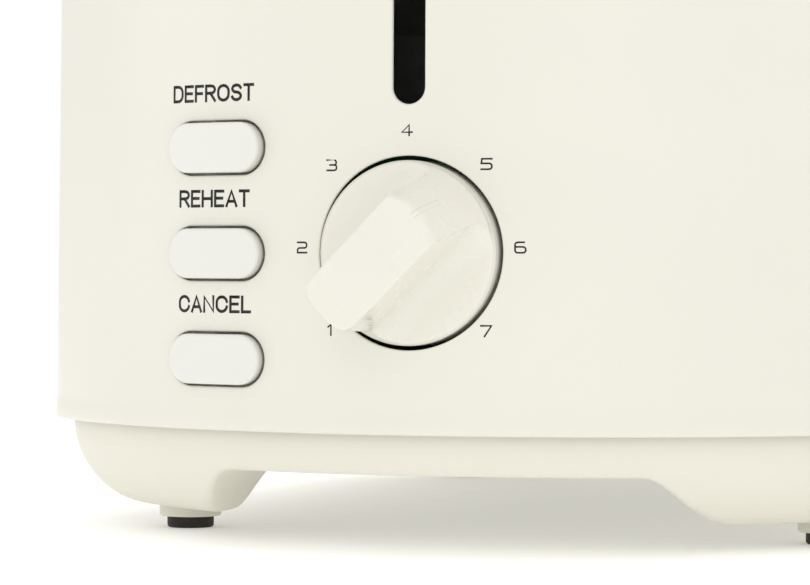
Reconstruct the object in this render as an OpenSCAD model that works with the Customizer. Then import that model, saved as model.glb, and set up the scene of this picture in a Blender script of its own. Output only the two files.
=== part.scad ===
// Pop-up toaster with two bread slots and a bowed, one-piece plastic casing.
// Millimetres. +Z is up, the controls face -Y. The origin is on the table, under the middle of the whole.

/* [Casing] */
// Length of the casing, front to back
body_l = 300; // [270:5:380]
// Width of the casing at its lower edge
body_w = 200; // [186:2:220]
// Height of the top above the table
body_h = 190; // [184:2:240]
// Radius of the bowed front and rear walls
bow_r = 120; // [112:2:180]
// Radius of the four upright corners
corner_r = 37; // [28:1:44]
// Thickness of the casing
wall = 2.5; // [2:0.1:3.5]
// Radius of the edge round the top
top_r = 14; // [8:1:18]
// How far each side leans in, from the lower edge to the top
draft = 2; // [0:0.5:3]
// Height of the casing's lower edge above the table
skirt_z = 23; // [22:0.1:26]

/* [Base] */
// How far the base is set in from the casing
base_inset = 3.9; // [3:0.1:6]
// Height of the base's bowl-shaped side
bowl_h = 18.4; // [15:0.1:19]
// How far the bowl runs in under the casing
bowl_in = 18; // [12:1:24]
// Height of the gaps between the feet
arch_z = 15; // [12:0.1:16]
// Half width of the front gap at its flat top
arch_half_w = 41.8; // [35:0.1:46]
// Half length of the side gap at its flat top
arch_half_l = 70; // [50:1:74]
// How far a gap's end runs out from its flat top to the foot
arch_run = 11.9; // [8:0.1:16]
// Radius of a foot's inner corner, seen from below
lobe_r = 30; // [20:1:36]
// Thickness of the base
base_wall = 2.5; // [2:0.1:3]
// Radius of a rubber foot
foot_r = 4.9; // [4:0.1:6]
// Height of the rubber below the base
foot_h = 2.4; // [1.5:0.1:3]
// Distance of a foot from the middle line
foot_x = 68.8; // [64:0.1:72]
// Distance of a foot from the casing's end
foot_in = 57.7; // [50:0.1:60]

/* [Browning knob] */
// Radius of the knob's disc
knob_r = 17.7; // [15:0.1:22]
// Gap round the disc
knob_gap = 0.85; // [0.5:0.05:1.2]
// Height of the knob's axis
knob_z = 57.8; // [55:0.1:62]
// Width of the knob's pointer bar
bar_w = 12.6; // [10:0.1:15]
// How far the pointer bar stands out of the disc
bar_h = 16.5; // [12:0.5:20]
// Direction of the pointer at rest, from +X towards +Z
bar_angle = 225; // [180:15:270]
// Radius of the knob's shaft
shaft_r = 3; // [2:0.5:4]

/* [Buttons] */
// Width of a button's opening
button_w = 23.4; // [18:0.1:28]
// Height of a button's opening
button_h = 10.8; // [8:0.1:13]
// Gap round a button
button_gap = 0.5; // [0.4:0.05:0.8]
// Distance of the buttons from the middle line
button_x = 42.7; // [38:0.1:46]
// Height of the lowest button
button_z = 37; // [35:0.1:40]
// Height from one button to the next
button_pitch = 20.7; // [16:0.1:21]
// How far a button stands out of the casing
button_out = 1.8; // [1.6:0.1:2.5]
// Travel of a button
button_travel = 1.5; // [1:0.1:1.6]

/* [Lever] */
// Width of the lever's slot
lever_slot_w = 6.5; // [6:0.1:8]
// Height of the slot's lower end
lever_slot_z = 86.2; // [85:0.1:90]
// Travel of the lever and the bread racks
lever_travel = 55; // [44:1:66]
// Thickness of the lever's stem
stem_w = 3.6; // [3:0.1:5]
// Height of the lever's stem
stem_h = 10; // [8:0.5:12]
// Width of the lever's grip
grip_w = 42; // [34:1:50]
// Height of the lever's grip
grip_h = 15; // [12:1:18]
// Depth of the lever's grip
grip_d = 23; // [18:1:28]
// Radius of the carriage's guide rod
rod_r = 2.5; // [2:0.1:3]
// Radial clearance of a sliding or turning fit
fit = 0.05; // [0.02:0.01:0.08]

/* [Bread slots] */
// Length of a bread slot
slot_l = 152; // [130:1:180]
// Width of a bread slot
slot_w = 35; // [29:1:38]
// Distance between the middles of the two slots
slot_pitch = 60; // [58:1:64]
// Height of the bread racks' tops when the lever is down
rack_low_z = 45; // [44:1:50]
// Width of the fingers that hold the bread
finger_w = 14; // [10:1:18]
// Distance of a bread guard from the middle of its slot
guard_x = 18; // [16.5:0.5:19]
// Radius of the guards' wires
wire_r = 0.9; // [0.7:0.1:1.2]
// Height of the guards' hinge line
guard_z = 42; // [41:1:46]
// Distance of a heater board from the middle of its slot
heater_x = 24; // [22:0.5:26]

/* [Chassis] */
// Thickness of the chassis plates
sheet = 1; // [0.8:0.1:1.5]
// Height of the chassis plates' tops
chassis_z = 165; // [160:1:168]
// Gap between a slot's end and the chassis plate
end_gap = 12; // [8:1:16]
// Thickness of a heater board
mica = 0.8; // [0.5:0.1:1.2]
// Width of the heating ribbon
ribbon_w = 1.4; // [1:0.1:2]
// Number of ribbon runs on a board
ribbon_runs = 12; // [8:2:14]

/* [Crumb tray] */
// Width of the crumb tray
tray_w = 110; // [90:1:112]
// Height of the crumb tray's rim
tray_h = 5; // [4:0.5:5.5]
// Thickness of the crumb tray
tray_t = 0.8; // [0.6:0.1:1]
// Height of the tray's pull at the back
pull_h = 13; // [11:1:15]

/* [Cord outlet] */
// Radius of the bore for the cord
cord_r = 3.6; // [3:0.1:4.5]
// Height of the cord outlet
cord_z = 60; // [55:1:80]
// Length of the outlet bush
bush_l = 12; // [10:1:16]

/* [Hidden] */
$fn = 48;
e = 0.01;                                   // small overlap that keeps cuts and joins clean
clear = 0.5;                                // gap between loose neighbours

// The casing's plan outline: bowed ends of radius bow_r, corners of radius corner_r, straight sides
half_l = body_l / 2;
half_w = body_w / 2;
front_y = -half_l;
bow_y = half_l - bow_r;                     // distance of a bow's centre from the middle
corner_x = half_w - corner_r;
corner_a = acos(corner_x / (bow_r - corner_r));
corner_y = bow_y + (bow_r - corner_r) * sin(corner_a);

function arc(cx, cy, r, a0, a1, n, last) =
    [for (i = [0 : last ? n : n - 1]) let (a = a0 + (a1 - a0) * i / n) [cx + r * cos(a), cy + r * sin(a)]];
function outline(d) = concat(
    arc(corner_x, corner_y, corner_r - d, 0, corner_a, 6, false),
    arc(0, bow_y, bow_r - d, corner_a, 180 - corner_a, 28, false),
    arc(-corner_x, corner_y, corner_r - d, 180 - corner_a, 180, 6, true),
    arc(-corner_x, -corner_y, corner_r - d, 180, 180 + corner_a, 6, false),
    arc(0, -bow_y, bow_r - d, 180 + corner_a, 360 - corner_a, 28, false),
    arc(corner_x, -corner_y, corner_r - d, 360 - corner_a, 360, 6, true));

// A closed solid through levels of [height, inset from the outline], listed upwards
module loft(levels) {
    rings = [for (lv = levels) [for (p = outline(lv[1])) [p[0], p[1], lv[0]]]];
    n = len(rings[0]);
    top = (len(levels) - 1) * n;
    sides = [for (k = [0 : len(levels) - 2], i = [0 : n - 1]) let (a = k * n + i, b = k * n + (i + 1) % n)
        each [[a, b + n, b], [a, a + n, b + n]]];
    polyhedron([for (r = rings) each r],
        concat(sides, [[for (i = [0 : n - 1]) i]], [[for (i = [n - 1 : -1 : 0]) top + i]]));
}

lip_h = 3;                                  // height of the rounded lip at the casing's lower edge
lip_in = 0.9;                               // how far the lip's corner is drawn in
top_steps = 6;
shell_levels = concat(
    [[skirt_z, lip_in], [skirt_z + lip_h * 0.3, lip_in * 0.3], [skirt_z + lip_h * 0.7, 0]],
    [[skirt_z + lip_h * 1.6, 0.25]],
    [for (i = [0 : top_steps]) let (t = 90 * i / top_steps)
        [body_h - top_r + top_r * sin(t), draft + top_r * (1 - cos(t))]]);
inner_r = top_r - wall;
hollow_levels = concat([[skirt_z - 1, wall + 0.25]],
    [for (i = [0 : top_steps]) let (t = 90 * i / top_steps)
        [body_h - top_r + inner_r * sin(t), wall + draft + inner_r * (1 - cos(t))]]);

// Base
bowl_steps = 8;
base_floor_z = arch_z + base_wall;
tongue_z = skirt_z + 4.7;                   // top of the base's rim inside the casing
bowl_levels = concat(
    [for (i = [0 : bowl_steps]) let (t = 90 * (1 - i / bowl_steps))
        [skirt_z - bowl_h * sin(t), base_inset + bowl_in * (1 - cos(t))]],
    [[tongue_z, base_inset]]);
foot_y = half_l - foot_in;
boss_r = foot_r + 1.6;
bowl_z = skirt_z - bowl_h;                  // lowest point of the bowls
foot_seat = 1;                              // depth of a foot's seat in its boss
foot_stem_r = 2.5;
foot_stem_h = 6;

// Screws that hold the base to the casing
post_x = half_w - 18;
post_y = 58;
post_r = 4.5;
rib_low = 6;                                // a post's rib starts this far above its end
post_split_z = tongue_z;                    // the base's post ends here and the casing's starts
screw_r = 1.75;
screw_head_r = 3.4;
screw_head_h = 2;
screw_l = 26;

// Chassis
plate_front_y = -slot_l / 2 - end_gap;      // rear face of the front plate
plate_rear_y = slot_l / 2 + end_gap;        // front face of the rear plate
chassis_half_w = slot_pitch / 2 + heater_x + 12;
reflector_x = chassis_half_w - 2.4;
heater_top_z = chassis_z - 7;
heater_low_z = guard_z - 2;
rack_top_z = rack_low_z + lever_travel;
rack_h = 10;
rack_t = 1.5;
rack_slot_w = 3;
rack_past = 4;                              // how far a rack reaches past the rear plate
fingers = 8;                                // fingers on a rack
slots = [-1, 1];
liner_gap = 0.5;                            // the casing's openings are this much wider all round
slot_corner_r = 4;
boards = [-slot_pitch / 2 - heater_x, -slot_pitch / 2 + heater_x,
          slot_pitch / 2 - heater_x, slot_pitch / 2 + heater_x];
guards = [-slot_pitch / 2 - guard_x, -slot_pitch / 2 + guard_x,
          slot_pitch / 2 - guard_x, slot_pitch / 2 + guard_x];

// Carriage, in front of the front plate
rod_y = plate_front_y - sheet - 5;          // the guide rod's axis
carriage_y = rod_y - 6;                     // rear face of the carriage plate
carriage_t = 1.2;
carriage_h = 14;
carriage_z = rack_top_z - 12;               // lower edge of the carriage plate
sleeve_r = 4.4;
sleeve_h = 20;
stem_z = lever_slot_z + lever_travel + 1.3; // underside of the stem with the lever up
grip_corner_r = 7;                          // the grip's corners, seen from above
grip_edge_r = 5;                            // and seen from the front
grip_gap = 1.2;                             // gap between the grip and the casing
arm_x = 24;                                 // middle of the magnet and its keeper plate
arm_w = 16;
arm_l = 11;                                 // how far the arm stands in front of the carriage plate
keeper_t = 2;
keeper_gap = 0.3;
keeper_z = carriage_z - keeper_t;
magnet_top_z = keeper_z - lever_travel - keeper_gap;
spring_r = 3.7;
spring_wire_r = 0.5;
spring_turns = 11;

// Control board, behind the controls
control_room = 19;                          // depth of the cuts for the controls
board_y = front_y + 25;                     // front face of the circuit board
board_t = 1.6;
board_low_z = base_floor_z + 7;
board_top_z = stem_z - lever_travel - 2;
board_x0 = -62;
board_x1 = 46;
pot_r = 8.5;
pot_h = 8;
pot_neck_r = 4.5;
pot_neck_h = 5;
switch_h = 4.5;
cap_end_y = board_y - switch_h - 6;         // rear edge of the buttons' caps

// Crumb tray and its pull
pull_z = tongue_z + 1;                      // underside of the pull, above the base's rim
pull_corner_r = 3;
pull_gap = 0.6;                             // gap round the pull
rear_room = 35;                             // depth of the cut for the pull
tray_z = pull_z + 0.8;                      // underside of the tray
tray_end_y = half_l - 22;
tray_y0 = plate_front_y + 6;
pull_t = 3;

// Wiring
wire_x = chassis_half_w + 5;
lead_r = 1.4;
lead_end_r = 1;                             // the bare ends that pass through the rear plate
terminal_y = plate_rear_y - 30;
terminal_h = 14;
lead_z = heater_top_z - 6;                  // height of the leads behind the rear plate
lead_y = plate_rear_y + sheet + 3;

// The grip stands out further than the cord outlet, so the casing sits behind the origin
flange_t = 3;
bush_t = 2.4;                               // wall of the outlet bush
flange_w = 5;                               // width of its flange past the bore
grip_reach = grip_gap + grip_d;
casing_shift = (grip_reach - flange_t) / 2;
module placed() { translate([0, casing_shift, 0]) children(); }

// A cylinder along Y from y0 to y1
module rod_y(r, y0, y1) { translate([0, y0, 0]) rotate([-90, 0, 0]) cylinder(r = r, h = y1 - y0); }
// A box from corner a to corner b
module block(a, b) { translate(a) cube(b - a); }
// A flat bar with round ends, lying in XZ, from y0 to y1
module stadium(w, h, y0, y1) {
    r = h / 2;
    for (s = [-1, 1]) translate([s * (w / 2 - r), 0, 0]) rod_y(r, y0, y1);
    block([r - w / 2, y0, -r], [w / 2 - r, y1, r]);
}
// A rounded rectangle in XY
module round_rect(w, l, r) {
    square([w - 2 * r, l], center = true);
    square([w, l - 2 * r], center = true);
    for (sx = [-1, 1], sy = [-1, 1]) translate([sx * (w / 2 - r), sy * (l / 2 - r)]) circle(r);
}
// The tray pull's outline in XZ, grown by d, from y0 to y1
module pull_outline(d, y0, y1) {
    translate([0, y0, pull_z + pull_h / 2]) rotate([90, 0, 180]) linear_extrude(y1 - y0)
        round_rect(tray_w + 2 + 2 * d, pull_h + 2 * d, pull_corner_r + d);
}
// What lies within r of the front bow's axis
module in_bow(r) { translate([0, -bow_y, 0]) cylinder(r = r, h = body_h, $fn = 180); }

module lever_slot(y0, y1) {
    r = lever_slot_w / 2;
    top = stem_z + stem_h + 4;
    for (z = [lever_slot_z + r, top - r]) translate([0, 0, z]) rod_y(r, y0, y1);
    block([-r, y0, lever_slot_z + r], [r, y1, top - r]);
}

// The whole casing, which is one moulding
beyond = 5;                                 // how far a cut runs past the wall
casing_post_h = 30;
rib_t = 2;
module shell() difference() {
    union() {
        difference() {
            loft(shell_levels);
            loft(hollow_levels);
        }
        for (sx = [-1, 1], sy = [-1, 1]) translate([sx * post_x, sy * post_y, post_split_z]) {
            cylinder(r = post_r, h = casing_post_h);
            block([sx > 0 ? 0 : post_x - half_w + draft, -rib_t / 2, rib_low],
                [sx > 0 ? half_w - post_x - draft : 0, rib_t / 2, casing_post_h]);
        }
    }
    for (sx = [-1, 1], sy = [-1, 1]) translate([sx * post_x, sy * post_y, post_split_z - e])
        cylinder(r = screw_r, h = screw_l);
    translate([0, 0, knob_z]) rod_y(knob_r + knob_gap, front_y - beyond, front_y + control_room);
    for (i = [0 : 2]) translate([-button_x, 0, button_z + i * button_pitch])
        stadium(button_w, button_h, front_y - beyond, front_y + control_room);
    lever_slot(front_y - beyond, front_y + control_room);
    for (s = slots) translate([s * slot_pitch / 2, 0, body_h - top_r])
        linear_extrude(top_r + beyond)
            round_rect(slot_w + 2 * liner_gap, slot_l + 2 * liner_gap, slot_corner_r);
    pull_outline(pull_gap, half_l - rear_room, half_l + beyond);
    translate([0, 0, cord_z]) rod_y(cord_r + bush_t, half_l - bush_l, half_l + beyond);
}
// The shell is in five nodes, so that collision follows its walls: the flat top, both bowed ends
// with their corners, and both sides
top_plan = draft + top_r + 1;               // inset of the flat top's node
module top_region(low) translate([0, 0, low]) linear_extrude(body_h) polygon(outline(top_plan));
module casing_top() placed() color("ivory") intersection() {
    shell();
    top_region(body_h - top_r);
}
module casing_wall(a, b) placed() color("ivory") difference() {
    intersection() {
        shell();
        block(a, b);
    }
    top_region(body_h - top_r);
}
module casing_end(s) casing_wall([-body_w, s > 0 ? corner_y : -body_l, 0],
    [body_w, s > 0 ? body_l : -corner_y, body_h + beyond]);
module casing_side(s) casing_wall([s > 0 ? 0 : -body_w, -corner_y, 0],
    [s > 0 ? body_w : 0, corner_y, body_h + beyond]);

// The hollow under the base is a slab less four feet, whose inner walls flare out upwards in an S
lobe_steps = 10;
lobe_levels = [[-1, 0], [bowl_z, 0], [arch_z - 7, arch_run * 0.25], [arch_z - 3.8, arch_run * 0.45],
    [arch_z - 1.1, arch_run * 0.7], [arch_z, arch_run], [arch_z + 1, arch_run]];
module foot_lobe() {
    x = arch_half_w + arch_run + lobe_r;
    y = arch_half_l + arch_run + lobe_r;
    rings = [for (lv = lobe_levels) concat([[body_w, body_l, lv[0]], [x - lobe_r - lv[1], body_l, lv[0]]],
        [for (i = [0 : lobe_steps]) let (a = 180 + 90 * i / lobe_steps, r = lobe_r + lv[1])
            [x + r * cos(a), y + r * sin(a), lv[0]]],
        [[body_w, y - lobe_r - lv[1], lv[0]]])];
    n = len(rings[0]);
    top = (len(lobe_levels) - 1) * n;
    sides = [for (k = [0 : len(lobe_levels) - 2], i = [0 : n - 1]) let (a = k * n + i, b = k * n + (i + 1) % n)
        each [[a, b + n, b], [a, a + n, b + n]]];
    polyhedron([for (r = rings) each r],
        concat(sides, [[for (i = [0 : n - 1]) i]], [[for (i = [n - 1 : -1 : 0]) top + i]]));
}
module base_hollow() difference() {
    block([-body_w, -body_l, -1], [body_w, body_l, arch_z]);
    for (q = [0 : 3]) mirror([q % 2, 0, 0]) mirror([0, q > 1 ? 1 : 0, 0]) foot_lobe();
}
module each_foot() for (sx = [-1, 1], sy = [-1, 1]) translate([sx * foot_x, sy * foot_y, 0]) children();

module base() placed() color("linen") difference() {
    union() {
        difference() {
            loft(bowl_levels);
            base_hollow();
            translate([0, 0, base_floor_z]) linear_extrude(20) polygon(outline(base_inset + base_wall));
            each_foot() translate([0, 0, foot_h + foot_seat + foot_stem_h]) cylinder(r = 14, h = 20);
        }
        each_foot() translate([0, 0, foot_h]) cylinder(r = boss_r, h = bowl_z + 5 - foot_h);
        for (sx = [-1, 1], sy = [-1, 1]) translate([sx * post_x, sy * post_y, base_floor_z - e])
            cylinder(r = post_r, h = post_split_z - base_floor_z + e);
        for (x = [-1, 1] * (tray_w / 2 - 6))
            block([x - 1, tray_y0, base_floor_z - e], [x + 1, half_l - 24, tray_z - clear]);
        for (x = [board_x0 + 4, board_x1 - 4]) difference() {
            block([x - 3, board_y - 3, base_floor_z - e], [x + 3, board_y + board_t + 3, board_low_z + 6]);
            block([x - 4, board_y, board_low_z], [x + 4, board_y + board_t, board_low_z + 7]);
        }
    }
    each_foot() {
        translate([0, 0, foot_h - e]) cylinder(r = foot_r, h = foot_seat + e);
        cylinder(r = foot_stem_r, h = foot_h + foot_seat + foot_stem_h + 8);
    }
    for (sx = [-1, 1], sy = [-1, 1]) translate([sx * post_x, sy * post_y, 0]) {
        cylinder(r = screw_r, h = post_split_z + 1);
        cylinder(r = screw_head_r, h = arch_z + screw_head_h);
    }
}

module rubber_foot(sx, sy) placed() color("black") translate([sx * foot_x, sy * foot_y, 0]) {
    cylinder(r = foot_r - 0.6, h = foot_seat);
    translate([0, 0, 0.6]) cylinder(r = foot_r, h = foot_h + foot_seat - 0.6);
    cylinder(r = foot_stem_r, h = foot_h + foot_seat + foot_stem_h);
}

knob_face_y = front_y + 0.4;                // front face of the knob's disc
knob_depth = 7;
bar_tail = knob_r / 2;                      // the bar's top starts to fall this far past the axis
bar_end = knob_r * 0.93;                    // and meets the disc here
shaft_end_y = board_y - pot_h - pot_neck_h;
module browning_knob() placed() color("ivory") translate([0, 0, knob_z]) {
    difference() {
        rod_y(knob_r, knob_face_y, knob_face_y + knob_depth, $fn = 96);
        rod_y(knob_r - wall, knob_face_y + wall, knob_face_y + knob_depth + e);
    }
    difference() {
        rod_y(shaft_r + 2.5, knob_face_y + wall - e, shaft_end_y - 1);
        rod_y(shaft_r, knob_face_y + wall + 1, shaft_end_y);
    }
    intersection() {
        rod_y(knob_r - 0.3, knob_face_y - bar_h, knob_face_y + 1, $fn = 96);
        rotate([0, -bar_angle, 0]) translate([0, 0, -bar_w / 2]) linear_extrude(bar_w)
            polygon([[knob_r, knob_face_y + 1], [knob_r, knob_face_y - bar_h + 1],
                [knob_r - 2, knob_face_y - bar_h], [-bar_tail, knob_face_y - bar_h],
                [-bar_end, knob_face_y], [-bar_end, knob_face_y + 1]]);
    }
}
module knob_shaft() placed() color("silver") translate([0, 0, knob_z])
    rod_y(shaft_r, knob_face_y + wall + 1, board_y - 2);
module potentiometer() placed() color("dimgray") translate([0, 0, knob_z]) difference() {
    union() {
        rod_y(pot_r, board_y - pot_h, board_y);
        rod_y(pot_neck_r, shaft_end_y, board_y - pot_h + e);
        block([-6, board_y - 3, -pot_r - 4], [6, board_y, 0]);
    }
    rod_y(shaft_r + fit, shaft_end_y - 1, board_y - 1.5);
}

module push_button(row) placed() color("whitesmoke") translate([0, 0, button_z + row * button_pitch]) {
    h = button_h - 2 * button_gap;
    intersection() {
        translate([-button_x, 0, 0])
            stadium(button_w - 2 * button_gap, h, front_y - beyond, cap_end_y);
        difference() {
            translate([0, 0, -body_h / 2]) in_bow(bow_r + button_out);
            translate([0, 0, -body_h / 2]) in_bow(bow_r - wall - draft - 3.5);
        }
    }
    intersection() {
        translate([-button_x, 0, 0]) stadium(button_w + 2, h + 3, front_y, board_y);
        difference() {
            translate([0, 0, -body_h / 2]) in_bow(bow_r - wall - draft);
            translate([0, 0, -body_h / 2]) in_bow(bow_r - wall - draft - 1.5);
        }
    }
    intersection() {
        block([-button_x - 3, front_y, -3], [-button_x + 3, board_y - switch_h - button_travel - 0.4, 3]);
        translate([0, 0, -body_h / 2]) in_bow(bow_r - wall - draft - 1);
    }
}

module control_board() placed() color("darkgreen")
    block([board_x0, board_y, board_low_z], [board_x1, board_y + board_t, board_top_z]);
module board_parts() placed() translate([0, board_y + board_t, 0]) {
    color("black") block([-16, 0, 58], [-2, 3.2, 66]);
    color("black") block([10, 0, 60], [26, 9, 76]);
    color("navy") for (x = [-34, -24]) translate([x, 0, 72]) rod_y(4, 0, 11);
    color("goldenrod") block([-56, 0, 60], [-44, 7, 72]);
    color("white") block([30, 0, 34], [44, 8, 44]);
    color("tan") for (i = [0 : 4]) translate([-40 + 7 * i, 1.2, 44]) cylinder(r = 1.2, h = 7);
}
module button_switches() placed() color("black")
    for (i = [0 : 2]) translate([-button_x, 0, button_z + i * button_pitch]) {
        block([-3, board_y - switch_h + 1, -3], [3, board_y, 3]);
        rod_y(1.7, board_y - switch_h, board_y - switch_h + 1 + e);
    }

grip_y = front_y - grip_gap;                // rear face of the grip, on the middle line
module lever_grip() placed() color("ivory") difference() {
    translate([0, grip_y - grip_d / 2, stem_z + stem_h / 2]) intersection() {
        translate([0, 0, -grip_h / 2]) linear_extrude(grip_h)
            round_rect(grip_w, grip_d, grip_corner_r);
        translate([0, grip_d / 2, 0]) rotate([90, 0, 0]) linear_extrude(grip_d)
            round_rect(grip_w, grip_h, grip_edge_r);
    }
    block([-stem_w / 2, grip_y - 12, stem_z], [stem_w / 2, grip_y + 1, stem_z + stem_h]);
}
module lever_stem() placed() color("silver")
    block([-stem_w / 2, grip_y - 12, stem_z], [stem_w / 2, carriage_y - carriage_t, stem_z + stem_h]);
module carriage_plate() placed() color("silver") {
    w = slot_pitch / 2 + 6;
    block([-w, carriage_y - carriage_t, carriage_z], [w, carriage_y, carriage_z + carriage_h]);
    block([-8, carriage_y - carriage_t, carriage_z], [8, carriage_y, stem_z + stem_h + 1]);
    block([-3, carriage_y, carriage_z], [3, rod_y - sleeve_r + 1, carriage_z + carriage_h]);
    block([arm_x - arm_w / 2, carriage_y - carriage_t - arm_l, carriage_z],
        [arm_x + arm_w / 2, carriage_y, carriage_z + carriage_t]);
}
module guide_sleeve() placed() color("goldenrod") translate([0, rod_y, carriage_z]) difference() {
    cylinder(r = sleeve_r, h = sleeve_h);
    translate([0, 0, -1]) cylinder(r = rod_r + fit, h = sleeve_h + 2);
    block([-3, -sleeve_r - 1, -1], [3, -sleeve_r + 1, carriage_h]);
}
module keeper_plate() placed() color("gray")
    block([arm_x - arm_w / 2, carriage_y - carriage_t - arm_l, keeper_z],
        [arm_x + arm_w / 2, carriage_y - carriage_t - 1, carriage_z]);

module bread_rack(s) placed() color("silver") translate([s * slot_pitch / 2, 0, 0]) {
    block([-rack_t / 2, carriage_y, rack_top_z - rack_h],
        [rack_t / 2, plate_rear_y + sheet + rack_past, rack_top_z]);
    for (i = [0 : fingers - 1]) translate([0, (i - (fingers - 1) / 2) * slot_l / fingers, rack_top_z])
        block([-finger_w / 2, -2, -1.2], [finger_w / 2, 2, 0]);
}
module guide_rod() placed() color("silver") translate([0, rod_y, base_floor_z + sheet])
    cylinder(r = rod_r, h = chassis_z - base_floor_z);

// A spring's helix as one tube: rings of eight points along the coil
module coil(r, wire, turns, h) {
    steps = 14;
    n = round(turns * steps);
    points = [for (i = [0 : n], j = [0 : 7]) let (a = 360 * i / steps, b = 45 * j, q = r + wire * cos(b))
        [q * cos(a), q * sin(a), wire + (h - 2 * wire) * i / n + wire * sin(b)]];
    sides = [for (i = [0 : n - 1], j = [0 : 7]) let (a = 8 * i + j, b = 8 * i + (j + 1) % 8)
        each [[a, b, b + 8], [a, b + 8, a + 8]]];
    polyhedron(points, concat(sides, [[for (j = [7 : -1 : 0]) j]], [[for (j = [0 : 7]) 8 * n + j]]));
}
spring_z = base_floor_z + 2 * sheet;
module lift_spring() placed() color("silver") translate([0, rod_y, spring_z])
    coil(spring_r, spring_wire_r, spring_turns, carriage_z - spring_z);

magnet_y = carriage_y - carriage_t - 6;     // middle of the electromagnet
switch_top_z = magnet_top_z - 5;            // top of the mains switch beside it
magnet_w = arm_w;
module magnet_core() placed() color("gray") translate([arm_x, magnet_y, base_floor_z + sheet]) {
    h = magnet_top_z - base_floor_z - sheet;
    block([-magnet_w / 2, -5, 0], [magnet_w / 2, 5, 3]);
    for (x = [-magnet_w / 2, magnet_w / 2 - 3]) block([x, -5, 0], [x + 3, 5, h]);
    block([-2, -4, 0], [2, 4, h]);
}
module magnet_coil() placed() color("darkorange") translate([arm_x, magnet_y, base_floor_z + sheet + 3])
    difference() {
        block([-4.6, -6, 0.2], [4.6, 6, magnet_top_z - base_floor_z - sheet - 4]);
        block([-2, -4, -1], [2, 4, 30]);
    }
module mains_switch() placed() color("saddlebrown")
    block([-36, magnet_y - 6, base_floor_z + sheet], [-14, magnet_y + 5, switch_top_z]);
module switch_contacts() placed() color("gold")
    for (x = [-32, -22])
        block([x, magnet_y - 4, switch_top_z], [x + 4, magnet_y + 4, switch_top_z + 1.5]);

// A chassis plate in XZ, from y to y + sheet, with slots for the racks and holes for the guards' hinge rods
module plate(y, low_z) difference() {
    block([-chassis_half_w, y, low_z], [chassis_half_w, y + sheet, chassis_z]);
    for (s = slots) block([s * slot_pitch / 2 - rack_slot_w / 2, y - 1, rack_low_z - rack_h - 2],
        [s * slot_pitch / 2 + rack_slot_w / 2, y + sheet + 1, rack_top_z + 2]);
    for (x = guards) translate([x, 0, guard_z]) rod_y(wire_r + 0.3 + fit, y - 1, y + sheet + 1);
}
foot_flange = 12;
module front_plate() placed() color("lightgray") difference() {
    union() {
        plate(plate_front_y - sheet, base_floor_z);
        block([-chassis_half_w, magnet_y - 9, base_floor_z],
            [chassis_half_w, plate_front_y, base_floor_z + sheet]);
        block([-14, rod_y - 6, chassis_z - sheet], [14, plate_front_y, chassis_z]);
    }
    translate([0, rod_y, base_floor_z + sheet]) cylinder(r = rod_r, h = chassis_z);
    for (s = slots) translate([s * (chassis_half_w - 6), plate_front_y - 8, base_floor_z - 1])
        cylinder(r = screw_r, h = 4);
}
module rear_plate() placed() color("lightgray") difference() {
    union() {
        plate(plate_rear_y, base_floor_z);
        for (s = slots) translate([s * (chassis_half_w - 4), 0, 0])
            block([-4, plate_rear_y, base_floor_z], [4, plate_rear_y + foot_flange, base_floor_z + sheet]);
    }
    block([-tray_w / 2 - 1, plate_rear_y - 1, base_floor_z - 1],
        [tray_w / 2 + 1, plate_rear_y + sheet + 1, tray_z + tray_h + 2]);
    for (s = slots) translate([s * (chassis_half_w - 4), plate_rear_y + 8, base_floor_z - 1])
        cylinder(r = screw_r, h = 4);
    for (x = boards) translate([x, 0, lead_z])
        rod_y(lead_end_r + 0.2, plate_rear_y - 1, plate_rear_y + sheet + 1);
}
reflector_t = 0.8;
module reflector(s) placed() color("lightgray") translate([s * reflector_x, 0, 0])
    block([-reflector_t / 2, plate_front_y, heater_low_z - 3],
        [reflector_t / 2, plate_rear_y, chassis_z - 2]);

module heater_board(i) placed() color("tan")
    block([boards[i] - mica / 2, plate_front_y, heater_low_z],
        [boards[i] + mica / 2, plate_rear_y, heater_top_z]);
// One ribbon that runs to and fro along the face of the board towards the bread
module heating_ribbon(i) placed() color("dimgray") {
    side = i % 2 == 0 ? 1 : -1;
    y0 = plate_front_y + 8;
    y1 = plate_rear_y - 8;
    pitch = (heater_top_z - guard_z - 12) / (ribbon_runs - 1);
    x0 = boards[i] + side * mica / 2;
    x = [min(x0, x0 + side * 0.3), max(x0, x0 + side * 0.3)];
    for (k = [0 : ribbon_runs - 1]) translate([0, 0, guard_z + 8 + k * pitch]) {
        block([x[0], y0, 0], [x[1], y1, ribbon_w]);
        if (k < ribbon_runs - 1)
            block([x[0], k % 2 == 0 ? y1 - ribbon_w : y0, 0],
                [x[1], k % 2 == 0 ? y1 : y0 + ribbon_w, pitch + e]);
    }
}

guard_wires = 9;
// A cage of wires that hinges on its lowest rod
module bread_guard(i) placed() color("silver") translate([guards[i], 0, 0]) {
    guard_h = heater_top_z - 4 - guard_z;
    translate([0, 0, guard_z]) rod_y(wire_r + 0.3, plate_front_y - sheet - 2, plate_rear_y + sheet + 2);
    for (k = [0.18, 0.43, 0.68, 0.96]) translate([0, 0, guard_z + k * guard_h])
        rod_y(wire_r, -slot_l / 2 - 2, slot_l / 2 + 2);
    for (k = [0 : guard_wires - 1])
        translate([0, (k / (guard_wires - 1) - 0.5) * (slot_l - 4), guard_z])
            cylinder(r = wire_r * 0.85, h = guard_h, $fn = 16);
}

module slot_liner(s) placed() color("silver") translate([s * slot_pitch / 2, 0, chassis_z])
    difference() {
        linear_extrude(body_h - 0.6 - chassis_z) round_rect(slot_w + 0.4, slot_l + 0.4, 3.7);
        translate([0, 0, -1]) linear_extrude(60) round_rect(slot_w - 1.2, slot_l - 1.2, 2.9);
    }

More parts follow.
